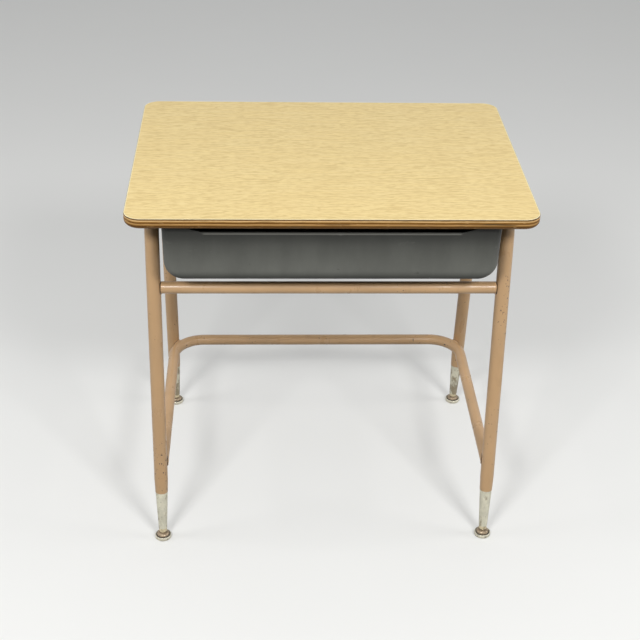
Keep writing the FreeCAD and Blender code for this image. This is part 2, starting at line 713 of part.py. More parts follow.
def saddle_weld(label, side, end, x, z, rotation):
    """Weld bead round a bar's coped end: a ring that follows the leg."""
    y = f"{FRAME_Y} + {end} * {leg_at(z)}"
    below, height = f"({z} - bar_diameter)", "2 * bar_diameter"
    sleeve = cylinder("bar_diameter / 2 + weld_bead", "leg_diameter", x, y, z, rotation)
    hug = leg_rod("leg_diameter / 2 + weld_bead", height, side, end, below)
    blank = boolean("Common", f"{label}_blank", sleeve, [hug])
    leg = leg_rod("leg_diameter / 2", height, side, end, below)
    bar = cylinder("bar_diameter / 2", "leg_diameter", x, y, z, rotation)
    return boolean("Cut", label, blank, [leg, bar])


def corner_weld(label, side):
    """Weld that fills the hollow between a stretcher bend and its rear leg."""
    reach = f"((stretcher_bend + bar_diameter / 2) / {NEST_REACH})"
    centre_x, centre_y = f"({ARM_X} - stretcher_bend)", f"({FRAME_Y} + {BEND_Y})"
    ball = doc.addObject("Part::Sphere", f"{label}_ball")
    bind(ball, Radius="weld_ball")
    x = f"{side} * ({centre_x} + {NEST_ACROSS} * {reach})"
    put(ball, x, f"{centre_y} + {NEST_ALONG} * {reach}", STRETCHER)
    bend = doc.addObject("Part::Torus", f"{label}_bend")
    bind(bend, Radius1="stretcher_bend", Radius2="bar_diameter / 2")
    put(bend, f"{side} * {centre_x}", centre_y, STRETCHER)
    leg = leg_rod("leg_diameter / 2", "4 * weld_ball", side, 1, f"({STRETCHER} - 2 * weld_ball)")
    return boolean("Cut", label, ball, [bend, leg])


def make_frame():
    """Side frames, rails, stretcher and the welds that join them."""
    welds = []
    backwards = FreeCAD.Rotation(ALONG_X, -QUARTER_TURN)
    for name, side in SIDES.items():
        side_frame(f"{name}_side_frame", side)
        inwards = FreeCAD.Rotation(ALONG_Y, -side * QUARTER_TURN)
        for end, end_name in ((-1, "front"), (1, "rear")):
            place = (f"{side} * {LEG_X}", RAIL, inwards)
            welds.append(saddle_weld(f"{end_name}_{name}_rail_weld", side, end, *place))
        place = (f"{side} * {ARM_X}", STRETCHER, backwards)
        welds.append(saddle_weld(f"{name}_arm_weld", side, -1, *place))
        welds.append(corner_weld(f"{name}_corner_weld", side))
    cross_rail("front_rail", -1)
    cross_rail("rear_rail", 1)
    lower_stretcher()
    group("frame_welds", welds)


# The book box

def tray_block(label, inset):
    """Drafted block with round lower corners: the tray's outside, or its hollow inset by the wall."""
    body = new_body(label)
    half, front, back = f"({BOX_HALF} - {inset})", f"({BOX_FRONT} + {inset})", f"({BOX_BACK} - {inset})"
    depth = f"(box_depth - {inset})"
    plan = new_sketch(body, "XY", RIM_TOP)
    draw(plan, rectangle(f"-{half}", half, front, back))
    block = pad(body, plan, depth, reverse=True, taper="-box_draft")
    tolerance = size("box_wall") / 2
    floor, top = size(f"{RIM_TOP} - {depth}") + tolerance, size(RIM_TOP) - tolerance
    middle, reach = size(f"({front} + {back}) / 2"), size(f"({back} - {front}) / 4")

    def low_side(edge):
        return runs_along(edge, ALONG_Y) and edge.CenterOfMass.z < floor

    def at_ends(edge):
        return edge.CenterOfMass.z < top and abs(edge.CenterOfMass.y - middle) > reach

    rounded = dress(body, "Fillet", block, edges_of(block, low_side), Radius=f"box_corner - {inset}")
    dress(body, "Fillet", rounded, edges_of(rounded, at_ends), Radius=f"box_edge - {inset}")
    return body


def book_box():
    """Moulded tray: drafted walls, round lower corners, a hand notch in front and rim flanges."""
    body = tray_block("book_box", "0")
    hollow = body.newObject("PartDesign::Boolean", "book_box_hollow")
    hollow.Type = "Cut"
    hollow.setObjects([tray_block("book_box_inside", "box_wall")])
    doc.recompute()
    tolerance = size("box_wall") / 2
    top = size(RIM_TOP) - tolerance

    notch = new_sketch(body, "XZ", f"-{BOX_FRONT} + cut_overrun")
    foot, slope = f"({BOX_HALF} - notch_inset)", f"({BOX_HALF} - notch_inset + notch_run)"
    draw(notch, [
        (f"-{foot}", f"{RIM_TOP} - notch_depth"),
        (foot, f"{RIM_TOP} - notch_depth"),
        (slope, RIM_TOP),
        (slope, f"{RIM_TOP} + cut_overrun"),
        (f"-{slope}", f"{RIM_TOP} + cut_overrun"),
        (f"-{slope}", RIM_TOP),
    ])
    cut = pocket(body, notch, "(cut_overrun + 4 * box_wall)")

    def notch_foot(edge):
        low = abs(edge.CenterOfMass.z - size(f"{RIM_TOP} - notch_depth")) < tolerance
        return low and runs_along(edge, ALONG_Y) and edge.CenterOfMass.y < 0

    eased = dress(body, "Fillet", cut, edges_of(cut, notch_foot), Radius="notch_corner")

    def notch_lip(edge):
        box = edge.BoundBox
        in_notch = box.ZMax < top + tolerance and box.ZMin > size(f"{RIM_TOP} - notch_depth") - tolerance
        return in_notch and box.YMax < size(BOX_FRONT) + tolerance and abs(box.Center.x) < size(slope)

    dress(body, "Fillet", eased, edges_of(eased, notch_lip), Radius="notch_lip")

    rim = new_sketch(body, "XY", RIM_TOP)
    for side in SIDES.values():
        inner, outer = f"{side} * ({BOX_HALF} - box_wall / 2)", f"{side} * ({LEG_X} + rim_reach)"
        draw(rim, rectangle(inner, outer, f"{FRAME_Y} - {RIM_HALF}", f"{FRAME_Y} + {RIM_HALF}"))
        for y in rim_screw_places():
            hole = "(screw_diameter / 2 + screw_clearance)"
            draw_circle(rim, f"{side} * {LEG_X}", f"{FRAME_Y} + {y}", hole)
    lip = f"({BOX_HALF} - lip_inset)"
    draw(rim, rectangle(f"-{lip}", lip, f"{BOX_BACK} - box_wall / 2", f"{BOX_BACK} + rear_lip"))
    pad(body, rim, "rim_thickness", reverse=True)
    node(body, "book_box")


def make_box():
    """The book box and the screws that hold its rim to the side rails."""
    book_box()
    profile = screw_profile("(rim_thickness + rim_screw_length)")
    head_up = FreeCAD.Rotation(ALONG_X, 2 * QUARTER_TURN)
    screws = []
    for name, side in SIDES.items():
        for number, y in enumerate(rim_screw_places(), start=1):
            place = (f"{side} * {LEG_X}", f"{FRAME_Y} + {y}", RIM_TOP)
            screws.append(turned(f"{name}_rim_screw_{number}", profile, *place, head_up))
    group("book_box_screws", screws)


# The feet

def tip_profile():
    """Tapered tip with a spigot for the tube above and a bore for the glide's stem below."""
    bore = "(stem_diameter / 2 + press_clearance)"
    bore_top = "(foot_height + stem_length + stem_room)"
    spigot = "(neck_diameter / 2 - leg_wall - press_clearance)"
    return [
        (bore, "foot_height"),
        ("(tip_end_diameter / 2)", "foot_height"),
        ("(neck_diameter / 2 - tip_step)", PAINT_LINE),
        (spigot, PAINT_LINE),
        (spigot, f"{PAINT_LINE} + spigot_length"),
        ("0", f"{PAINT_LINE} + spigot_length"),
        ("0", bore_top),
        (bore, bore_top),
    ]


def stem_profile():
    """Stem pressed into the tip, with a collar, a neck and a ball end."""
    neck = "(stem_neck_diameter / 2)"
    collar = "(collar_diameter / 2)"
    collar_bottom = f"({CROWN_TOP} + collar_gap)"
    ball_top = f"(ball_height + sqrt((ball_diameter / 2) ^ 2 - {neck} ^ 2))"
    return [
        ("0", "ball_height - ball_diameter / 2", 1, "(ball_diameter / 2)"),
        (neck, ball_top),
        (neck, collar_bottom),
        (collar, collar_bottom),
        (collar, "foot_height"),
        ("(stem_diameter / 2)", "foot_height"),
        ("(stem_diameter / 2)", "foot_height + stem_length"),
        ("0", "foot_height + stem_length"),
    ]


def base_profile():
    """Pressed cup that stands on the floor, with a boss that seats the ball."""
    rim = "(base_diameter / 2)"
    boss_top = "(ball_height - boss_drop)"
    return [
        ("0", "0"),
        (f"{rim} - base_edge", "0", 1, "base_edge"),
        (rim, "base_edge"),
        (rim, "base_height - base_roll", 1, "base_roll"),
        (f"{rim} - base_roll", "base_height"),
        (f"{rim} - base_wall", "base_height"),
        (f"{rim} - base_wall", "base_floor"),
        ("(boss_diameter / 2)", "base_floor"),
        ("(boss_diameter / 2)", boss_top),
        (f"sqrt({SEAT_RADIUS} ^ 2 - boss_drop ^ 2)", boss_top, -1, SEAT_RADIUS),
        ("0", f"ball_height - {SEAT_RADIUS}"),
    ]


def cushion_profile():
    """Rubber ring that fills the cup round the boss."""
    rim = "(base_diameter / 2 - base_wall)"
    return [
        ("(boss_diameter / 2)", "base_floor"),
        (rim, "base_floor"),
        (rim, "base_height"),
        (f"{rim} - cushion_rise", CUSHION_TOP),
        ("(boss_diameter / 2)", CUSHION_TOP),
    ]


def retainer_profile():
    """Domed washer that holds the ball down and leaves the stem room to tilt."""
    rim = "(base_diameter / 2 - base_wall - retainer_inset)"
    crown, hole = "(retainer_crown / 2)", "(retainer_hole / 2)"
    run, rise = f"({rim} - retainer_thickness - {crown})", f"({CROWN_UNDER} - {CUSHION_TOP})"
    outer = f"({DOME_BEND_SHARE} * sqrt(({rim} - {crown}) ^ 2 + ({CROWN_TOP} - {CUSHION_TOP}) ^ 2))"
    inner = f"({DOME_BEND_SHARE} * sqrt({run} ^ 2 + {rise} ^ 2))"
    return [
        (f"{rim} - retainer_thickness", CUSHION_TOP),
        (rim, CUSHION_TOP, 1, outer),
        (crown, CROWN_TOP),
        (hole, CROWN_TOP),
        (hole, CROWN_UNDER),
        (crown, CROWN_UNDER, -1, inner),
    ]


def make_feet():
    """Tip and stem in line with each leg, and a level base, cushion and retainer round the stem's ball."""
    in_line = {"leg_tip": tip_profile(), "glide_stem": stem_profile()}
    level = {
        "glide_base": base_profile(),
        "glide_cushion": cushion_profile(),
        "glide_retainer": retainer_profile(),
    }
    for corner, (side, end) in CORNERS.items():
        x, y = f"{side} * {LEG_X}", f"{FRAME_Y} + {end} * {FOOT_Y}"
        for piece, profile in in_line.items():
            label = f"{corner}_{piece}"
            from_ball = [(radius, f"({height}) - ball_height", *arc) for radius, height, *arc in profile]
            node(turned(label, from_ball, x, y, "ball_height", leaning(end), "leg_lean"), label)
        for piece, profile in level.items():
            label = f"{corner}_{piece}"
            node(turned(label, profile, x, y), label)


# Checks and files

def check_document():
    """Stops on any object that failed to build and on any piece without a valid solid."""
    for item in doc.Objects:
        if "Invalid" in item.State or "Error" in item.State:
            raise RuntimeError(f"{item.Label} failed: {item.State}")
    for piece in nodes:
        shape = piece.Shape
        if shape.isNull() or not shape.isValid() or not shape.Solids:
            raise RuntimeError(f"{piece.Label} has no valid solid")


def write_files():
    """Writes each piece to a file of its own name."""
    os.makedirs("parts", exist_ok=True)
    for piece in nodes:
        piece.Shape.exportStep(f"parts/{piece.Label}.step")
        box = piece.Shape.BoundBox
        print(f"{piece.Label}: {len(piece.Shape.Solids)} solids, {piece.Shape.Volume:.0f} mm3, "
              f"{box.XLength:.1f} x {box.YLength:.1f} x {box.ZLength:.1f}")


fill_sheet()
make_lid()
make_hinges()
make_frame()
make_box()
make_feet()
doc.recompute()
check_document()
write_files()
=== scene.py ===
"""Looks of the school desk with a lift lid: finishes, rails, welds, screws and a plain stage."""
import json
import math

import bmesh
import bpy
from bpy.props import FloatProperty, FloatVectorProperty, IntProperty, PointerProperty
from mathutils import Matrix, Vector


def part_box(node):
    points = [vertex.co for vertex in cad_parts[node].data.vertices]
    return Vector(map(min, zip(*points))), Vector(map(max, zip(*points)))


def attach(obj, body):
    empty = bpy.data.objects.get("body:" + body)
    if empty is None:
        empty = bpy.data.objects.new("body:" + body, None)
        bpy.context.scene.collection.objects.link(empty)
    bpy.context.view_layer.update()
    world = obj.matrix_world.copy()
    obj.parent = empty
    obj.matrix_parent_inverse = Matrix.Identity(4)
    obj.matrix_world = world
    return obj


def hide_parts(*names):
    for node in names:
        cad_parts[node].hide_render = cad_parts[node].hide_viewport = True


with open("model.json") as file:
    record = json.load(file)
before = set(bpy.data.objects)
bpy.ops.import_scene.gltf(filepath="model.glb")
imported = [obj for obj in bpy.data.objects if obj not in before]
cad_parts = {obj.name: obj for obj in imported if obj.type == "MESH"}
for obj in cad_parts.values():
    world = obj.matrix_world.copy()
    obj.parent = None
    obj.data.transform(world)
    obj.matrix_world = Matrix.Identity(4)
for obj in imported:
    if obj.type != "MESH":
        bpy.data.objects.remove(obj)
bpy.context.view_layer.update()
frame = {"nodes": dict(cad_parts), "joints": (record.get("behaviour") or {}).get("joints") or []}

bl_info = {
    "name": "School Desk Looks",
    "version": (1, 0, 0),
    "blender": (4, 5, 0),
    "location": "View3D > Sidebar > Desk",
    "description": "Finishes, welds, screws and stage for a tube-frame school desk with a lift lid",
    "category": "Object",
}

MM = 0.001
CORNERS = ("front_left", "front_right", "rear_left", "rear_right")
SIDE_FRAMES = ("left_side_frame", "right_side_frame")
RAILS = ("front_rail", "rear_rail")
EARS = ("left_hinge_ear", "right_hinge_ear")

# Meshes: merging and snapping distances, angle that stays sharp, divisions of round shapes
MERGE = 0.001 * MM
SNAP = 0.0001 * MM
SHARP = math.radians(40)
SCREW_STEPS = 28
TUBE_SEGMENTS = 64
ROUND_SEGMENTS = 4
DROP_SUBDIVISIONS = 3

# Screw heads: outline in shares of the radius and of the height below the crown, taper of the cross
HEAD_OUTLINE = ((0, 0), (0.45, 0.0), (0.80, 0.10), (0.96, 0.34), (1.0, 0.66), (1.0, 1.0))
RECESS_TAPER = 0.8

# Rails and welds: narrowest land round a bore, room left under the rails, shape of the weld drops
# and how their sizes differ
LEAST_LAND = 0.2 * MM
RAIL_ROOM = 20 * MM
DROP_FLATNESS = 0.85
DROP_UNEVENNESS = 0.12
DROP_RHYTHM = 5

# Sockets of a mix node that hold its share, its two colours and its result
MIX_SHARE, MIX_FIRST, MIX_SECOND, MIX_RESULT = 0, 6, 7, 2

# Stage: half the floor's width, where the sky starts to brighten, the camera's sensor in
# millimetres and its image in pixels
FLOOR_HALF = 14.0
SKY_START = 0.2
SENSOR_WIDTH = 36.0
IMAGE_SIZE = 640

# Lamps: place, target, width and height
KEY_LAMP = ((1.1, -2.34, 2.38), (0, 0, 0.35), 0.7, 0.5)
TOP_LAMP = ((0.1, -0.3, 3.2), (0, 0, 0.3), 2.4, 2.4)
SIDE_LAMP = ((2.4, -0.3, 1.3), (0, 0, 0.35), 1.0, 1.0)


# Settings

def colour(name, description, default):
    """A colour that a user would change."""
    return FloatVectorProperty(name=name, description=description, default=default, size=3,
                               min=0, max=1, subtype="COLOR")


def length(name, description, default):
    """A length that a user would change."""
    return FloatProperty(name=name, description=description, default=default, min=0, unit="LENGTH")


def degrees(name, description, default):
    """An angle that a user would change, with its default in degrees."""
    return FloatProperty(name=name, description=description, default=math.radians(default),
                         subtype="ANGLE")


def watts(name, description, default):
    """A lamp's power that a user would change."""
    return FloatProperty(name=name, description=description, default=default, unit="POWER")


def strength(name, description, default):
    """A strength of light that a user would change."""
    return FloatProperty(name=name, description=description, default=default)


class DeskFinishSettings(bpy.types.PropertyGroup):
    """Colours of the desk's finishes, and the sizes that they follow."""

    lid_corner: length("Lid corner", "Radius of the lid's corners in plan", 25.4 * MM)
    notch_level: length("Hand notch", "Bottom of the hand notch above the floor", 575.2 * MM)
    notch_half: length("Hand notch width", "Half of the hand notch's level bottom", 193.0 * MM)
    leg_radius: length("Leg", "Radius of the leg tube", 11.1 * MM)
    leg_lean: degrees("Leg lean", "Lean of the legs, feet outwards", 6.05)
    laminate_pale: colour("Laminate, pale", "Pale ground of the print", (0.885, 0.69, 0.315))
    laminate_dark: colour("Laminate, dark", "Darker streaks of the print", (0.71, 0.515, 0.20))
    laminate_warm: colour("Laminate, warm", "Warmer clouds in the print", (0.845, 0.63, 0.265))
    laminate_fleck: colour("Laminate flecks", "Fine dark flecks of the print", (0.60, 0.405, 0.13))
    # Painted highlight: pale band along the laminate's eased edge
    laminate_edge_highlight: colour("Laminate edge", "Eased edge round the laminate", (0.97, 0.87, 0.54))
    kraft: colour("Laminate core", "Cut edge of the laminate's paper core", (0.10, 0.058, 0.020))
    ply_pale: colour("Ply, pale", "Plies cut along the grain", (0.72, 0.465, 0.205))
    ply_warm: colour("Ply, warm", "Inner ply cut along the grain", (0.50, 0.285, 0.098))
    ply_mid: colour("Ply, middle", "Stained plies", (0.33, 0.165, 0.040))
    ply_dark: colour("Ply, dark", "Plies cut across the grain", (0.150, 0.062, 0.010))
    ply_fibre: colour("Ply fibres", "Dark fibres in the plies", (0.085, 0.036, 0.008))
    backer: colour("Backer", "Backer sheet under the lid", (0.10, 0.062, 0.032))
    paint: colour("Paint", "Enamel on the frame", (0.545, 0.345, 0.178))
    # Also dirt and the painted shade behind the rails' ends
    paint_chip_dirt_and_shade: colour("Paint chips", "Bare steel in the chips", (0.055, 0.045, 0.036))
    box: colour("Book box", "Moulded plastic", (0.108, 0.110, 0.098))
    # Also the painted highlight along the notch
    box_scuff_and_highlight: colour("Book box scuffs", "Pale scuffs on the plastic", (0.22, 0.22, 0.195))
    # Also the painted shade on the notch's rim
    box_mark_and_shade: colour("Book box marks", "Dark rubs on the plastic", (0.045, 0.045, 0.04))
    tip: colour("Leg tip", "Bone-white plated tips", (0.80, 0.765, 0.60))
    # Also painted shade on the rear tips
    tip_stain_and_shade: colour("Leg tip stains", "Brown stains on the tips", (0.25, 0.185, 0.10))
    nickel: colour("Nickel", "Plated glide cups", (0.66, 0.62, 0.50))
    collar: colour("Collar", "Plated glide stems and their collars", (0.68, 0.58, 0.38))
    grime: colour("Grime", "Brown grime on the glides", (0.075, 0.05, 0.025))
    retainer: colour("Retainer", "Brown domed washers of the glides", (0.33, 0.25, 0.165))
    cushion: colour("Cushion", "Dark rings in the glide cups", (0.022, 0.016, 0.008))
    rubber: colour("Rubber", "Bumpers under the lid", (0.018, 0.016, 0.014))
    zinc: colour("Zinc", "Hinge brackets, pins and screws", (0.50, 0.50, 0.47))
    nylon: colour("Nylon", "Hinge washers", (0.70, 0.67, 0.58))


class DeskScrewSettings(bpy.types.PropertyGroup):
    """Sizes of the screws."""

    head_height: length("Head", "Height of a screw's head", 1.7 * MM)
    shank: length("Shank", "Diameter of a screw's shank", 3.8 * MM)
    recess_width: length("Recess width", "Width of the cross recess's arms", 0.9 * MM)
    recess_span: length("Recess span", "Span of the cross recess", 4.2 * MM)
    recess_depth: length("Recess depth", "Depth of the cross recess", 1.1 * MM)
    slack_turn: degrees("Turn", "How differently the screws are turned", 23)


class DeskRailSettings(bpy.types.PropertyGroup):
    """Sizes of the rails' cut ends and of the weld tacks there."""

    wall: length("Wall", "Wall of the rail tube", 1.5 * MM)
    end_round: length("End rounding", "Rounding of the rails' cut ends", 1.4 * MM)
    bore_depth: length("Bore", "How deep the bore is open at an end", 14.0 * MM)
    bite: length("Bite", "How far an end sinks into the leg", 0.3 * MM)
    tack: length("Tack", "Radius of a weld drop where rail and leg are closest", 1.7 * MM)
    tack_first: degrees("Tack start", "Start of a tack, from the top towards the inside", 112)
    tack_last: degrees("Tack end", "End of a tack, from the top towards the inside", 208)
    tack_drops: IntProperty(name="Drops", description="Weld drops in a tack", default=7, min=2)


class DeskStageSettings(bpy.types.PropertyGroup):
    """Floor, light and camera."""

    floor: colour("Floor", "Plain pale floor", (0.66, 0.66, 0.645))
    floor_lift: strength("Floor lift", "How much paler than its light the floor looks", 0.30)
    floor_bounce: colour("Floor bounce", "What the floor throws back", (0.12, 0.12, 0.115))
    sky: colour("Sky", "Even light from all round", (0.96, 0.98, 1.0))
    sky_strength: strength("Sky strength", "Even light from all round", 0.11)
    backdrop_strength: strength("Backdrop", "How pale the backdrop looks", 0.80)
    key_power: watts("Key lights", "Each lamp in front", 48.0)
    top_power: watts("Top light", "Lamp overhead", 4.0)
    side_power: watts("Side lights", "Lamp at each side", 16.0)
    back_strength: strength("Back light", "Light from the sky behind the desk", 0.9)
    camera_place: FloatVectorProperty(name="Camera", description="Camera's place", size=3,
                                      unit="LENGTH", default=(-0.1052, -1.9116, 1.4465))
    camera_yaw: degrees("Yaw", "Camera turned to the right", 3.014)
    camera_pitch: degrees("Pitch", "Camera turned down", 30.919)
    camera_roll: degrees("Roll", "Camera rolled", -1.491)
    focal_pixels: FloatProperty(name="Focal length", description="In pixels of the image",
                                subtype="PIXEL", default=1302.9)


def finishes():
    """The finish settings of the scene."""
    return bpy.context.scene.desk_finish


# Materials

class Finish:
    """One material's node tree, built from left to right around its Principled shader."""

    def __init__(self, name, roughness=0.5, metallic=0.0):
        self.material = bpy.data.materials.new(name)
        self.material.use_nodes = True
        self.tree = self.material.node_tree
        self.shader = self.tree.nodes["Principled BSDF"]
        self.shader.inputs["Roughness"].default_value = roughness
        self.shader.inputs["Metallic"].default_value = metallic
        self.place = self.add("TexCoord").outputs["Object"]

    def add(self, kind, inputs=None, **settings):
        """Adds a node: inputs are values, colours or other nodes' sockets."""
        node = self.tree.nodes.new(f"ShaderNode{kind}")
        for name, value in settings.items():
            setattr(node, name, value)
        for key, value in (inputs or {}).items():
            self.give(node.inputs[key], value)
        return node

    def give(self, socket, value):
        """Links or sets one input."""
        if isinstance(value, bpy.types.NodeSocket):
            self.tree.links.new(value, socket)
        elif socket.type == "RGBA":
            socket.default_value = (*tuple(value)[:3], 1.0)
        else:
            socket.default_value = value

    def noise(self, scale, detail=3.0, roughness=0.55, offset=(0, 0, 0), place=None):
        """A noise from 0 to 1, stretched by a scale for each axis, in waves per metre."""
        inputs = {"Vector": place or self.place, "Location": offset, "Scale": scale}
        stretched = self.add("Mapping", inputs).outputs["Vector"]
        inputs = {"Vector": stretched, "Scale": 1.0, "Detail": detail, "Roughness": roughness}
        return self.add("TexNoise", inputs).outputs["Fac"]

    def limits(self, value, low, high, to_low=0.0, to_high=1.0):
        """The value brought from one range to another, and held there."""
        inputs = {"Value": value, "From Min": low, "From Max": high,
                  "To Min": to_low, "To Max": to_high}
        return self.add("MapRange", inputs, interpolation_type="SMOOTHSTEP").outputs["Result"]

    def calc(self, operation, first, second=0.0):
        """Arithmetic on one or two values."""
        return self.add("Math", {0: first, 1: second}, operation=operation).outputs["Value"]

    def product(self, *values):
        """The values multiplied together."""
        whole = values[0]
        for value in values[1:]:
            whole = self.calc("MULTIPLY", whole, value)
        return whole

    def hypotenuse(self, first, second):
        """The distance that two distances at right angles make."""
        square = self.calc("ADD", self.product(first, first), self.product(second, second))
        return self.calc("SQRT", square)

    def sway(self, noise, amount):
        """A noise as a shift to either side, in metres."""
        return self.product(self.calc("SUBTRACT", noise, 0.5), amount)

    def mix(self, share, first, second, blend="MIX"):
        """A colour between two."""
        inputs = {MIX_SHARE: share, MIX_FIRST: first, MIX_SECOND: second}
        return self.add("Mix", inputs, data_type="RGBA", blend_type=blend).outputs[MIX_RESULT]

    def vector(self, operation, first, second=(0, 0, 0)):
        """Arithmetic on two places."""
        return self.add("VectorMath", {0: first, 1: second}, operation=operation).outputs["Vector"]

    def grey(self, value):
        """A grey of the given value."""
        return self.add("CombineColor", {0: value, 1: value, 2: value}).outputs[0]

    def axes(self):
        """The three coordinates of the place on the piece, in metres."""
        return self.add("SeparateXYZ", {"Vector": self.place}).outputs

    def bands(self, value, stops):
        """Colours along a value, blended from one stop to the next."""
        node = self.add("ValToRGB", {"Fac": value})
        ramp = node.color_ramp
        ramp.interpolation = "LINEAR"
        while len(ramp.elements) < len(stops):
            ramp.elements.new(0.5)
        for element, (position, shade) in zip(ramp.elements, stops):
            element.position = position
            element.color = (*tuple(shade)[:3], 1.0)
        return node.outputs["Color"]

    def bump(self, height, distance):
        """Fine relief, in metres."""
        relief = self.add("Bump", {"Height": height, "Distance": distance, "Strength": 1.0})
        self.give(self.shader.inputs["Normal"], relief.outputs["Normal"])

    def coloured(self, value):
        """Sets the base colour."""
        self.give(self.shader.inputs["Base Color"], value)

    def rough(self, value):
        """Sets the roughness."""
        self.give(self.shader.inputs["Roughness"], value)


def toned(shade, factor):
    """A colour made darker or paler."""
    return [factor * value for value in shade]


def dress(material, *nodes):
    """Gives CAD nodes a finish of their own."""
    for name in nodes:
        slots = frame["nodes"][name].data.materials
        slots.clear()
        slots.append(material)


def edge_distance(finish, low, high, corner):
    """How far a place is inside a plate's outline, a rectangle with rounded corners, in metres."""
    half = (high - low) / 2
    middle = (high + low) / 2
    inner = (half.x - corner, half.y - corner, 1.0)
    place = finish.vector("SUBTRACT", finish.place, tuple(middle))
    past = finish.vector("SUBTRACT", finish.vector("ABSOLUTE", place), inner)
    outside = finish.vector("MAXIMUM", past, (0, 0, 0))
    reach = finish.add("VectorMath", {0: outside}, operation="LENGTH").outputs["Value"]
    return finish.calc("SUBTRACT", corner, reach)


def feet_places():
    """Where the four glides turn, which is on the axes of the legs."""
    glides = [joint for joint in frame["joints"] if joint["name"].endswith("glide_tilt")]
    return [Vector(joint["pos_m"]) for joint in glides]


def leg_x():
    """How far the axes of the legs are from the middle of the desk, sideways."""
    return max(foot.x for foot in feet_places())


def rail_reach():
    """How far the cut end of a rail is from the middle of the desk."""
    return leg_x() - finishes().leg_radius


def leg_distance(finish):
    """How far a place on the frame is outside the surface of the nearest leg, in metres."""
    feet = feet_places()
    middle = sum(foot.y for foot in feet) / len(feet)
    reach = max(foot.y for foot in feet) - middle
    lean = finishes().leg_lean
    x, y, z = finish.axes()
    aside = finish.calc("SUBTRACT", finish.calc("ABSOLUTE", x), leg_x())
    rise = finish.calc("SUBTRACT", z, feet[0].z)
    axis = finish.calc("SUBTRACT", reach, finish.product(rise, math.tan(lean)))
    along = finish.calc("ABSOLUTE", finish.calc("SUBTRACT", y, middle))
    ahead = finish.product(finish.calc("SUBTRACT", along, axis), math.cos(lean))
    return finish.calc("SUBTRACT", finish.hypotenuse(aside, ahead), finishes().leg_radius)


def rail_gap(finish):
    """1 on a leg in the narrow gap behind the cut end of a rail, and 0 elsewhere."""
    x, y, z = finish.axes()
    outside = []
    for node in RAILS:
        low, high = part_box(node)
        middle, radius = (low + high) / 2, (high.z - low.z) / 2
        ahead = finish.calc("SUBTRACT", y, middle.y)
        above = finish.calc("SUBTRACT", z, middle.z)
        outside.append(finish.calc("SUBTRACT", finish.hypotenuse(ahead, above), radius))
    inner = rail_reach()
    deep = finish.limits(finish.calc("ABSOLUTE", x), inner + 0.8 * MM, inner + 2.6 * MM, 1.0, 0.0)
    close = finish.limits(finish.calc("MINIMUM", *outside), 0.0, 1.4 * MM, 1.0, 0.0)
    return finish.product(deep, close)


def laminate_finish():
    """Printed maple laminate: thin wavy strands along X, painted highlight on the eased edge, dark
    cut edge.
    """
    shades = finishes()
    finish = Finish("maple_laminate")
    flow = finish.noise((3.2, 6.0, 0), detail=1.0)
    curl = finish.noise((11, 16, 0), detail=1.5, offset=(4, 9, 0))
    lift = finish.calc("ADD", finish.sway(flow, 26 * MM), finish.sway(curl, 8 * MM))
    x, y, z = finish.axes()
    lifted = {"X": x, "Y": finish.calc("ADD", y, lift), "Z": 0.0}
    wavy = finish.add("CombineXYZ", lifted).outputs["Vector"]
    strand = finish.noise((11, 112, 1), detail=2, roughness=0.6, place=wavy)
    fibre = finish.calc("ABSOLUTE", finish.calc("SUBTRACT", strand, 0.5))
    speckle = finish.noise((75, 230, 1), detail=2, offset=(3, 7, 0), place=wavy)
    cloud = finish.noise((9, 12, 1), detail=2, offset=(9, 2, 0))
    fleck = finish.noise((20, 185, 1), detail=2, offset=(1, 5, 0), place=wavy)
    ground = finish.limits(speckle, 0.28, 0.62, 0.35, 1.0)
    shade = finish.mix(ground, shades.laminate_dark, shades.laminate_pale)
    shade = finish.mix(finish.limits(cloud, 0.35, 0.7, 0.0, 0.25), shade, shades.laminate_warm)
    shade = finish.mix(finish.limits(fibre, 0.0, 0.035, 0.8, 0.0), shade, shades.laminate_dark)
    shade = finish.mix(finish.limits(fleck, 0.62, 0.74, 0.0, 0.6), shade, shades.laminate_fleck)
    low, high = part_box("lid_laminate")
    inside = edge_distance(finish, low, high, shades.lid_corner)
    # Painted highlight: the band along the eased edge is made pale
    shade = finish.mix(finish.limits(inside, 1.1 * MM, 1.8 * MM), shades.laminate_edge_highlight, shade)
    printed = finish.limits(z, high.z - 0.24 * MM, high.z - 0.10 * MM)
    finish.coloured(finish.mix(printed, shades.kraft, shade))
    finish.rough(finish.limits(strand, 0.3, 0.7, 0.42, 0.54))
    finish.bump(strand, 0.02 * MM)
    return finish.material


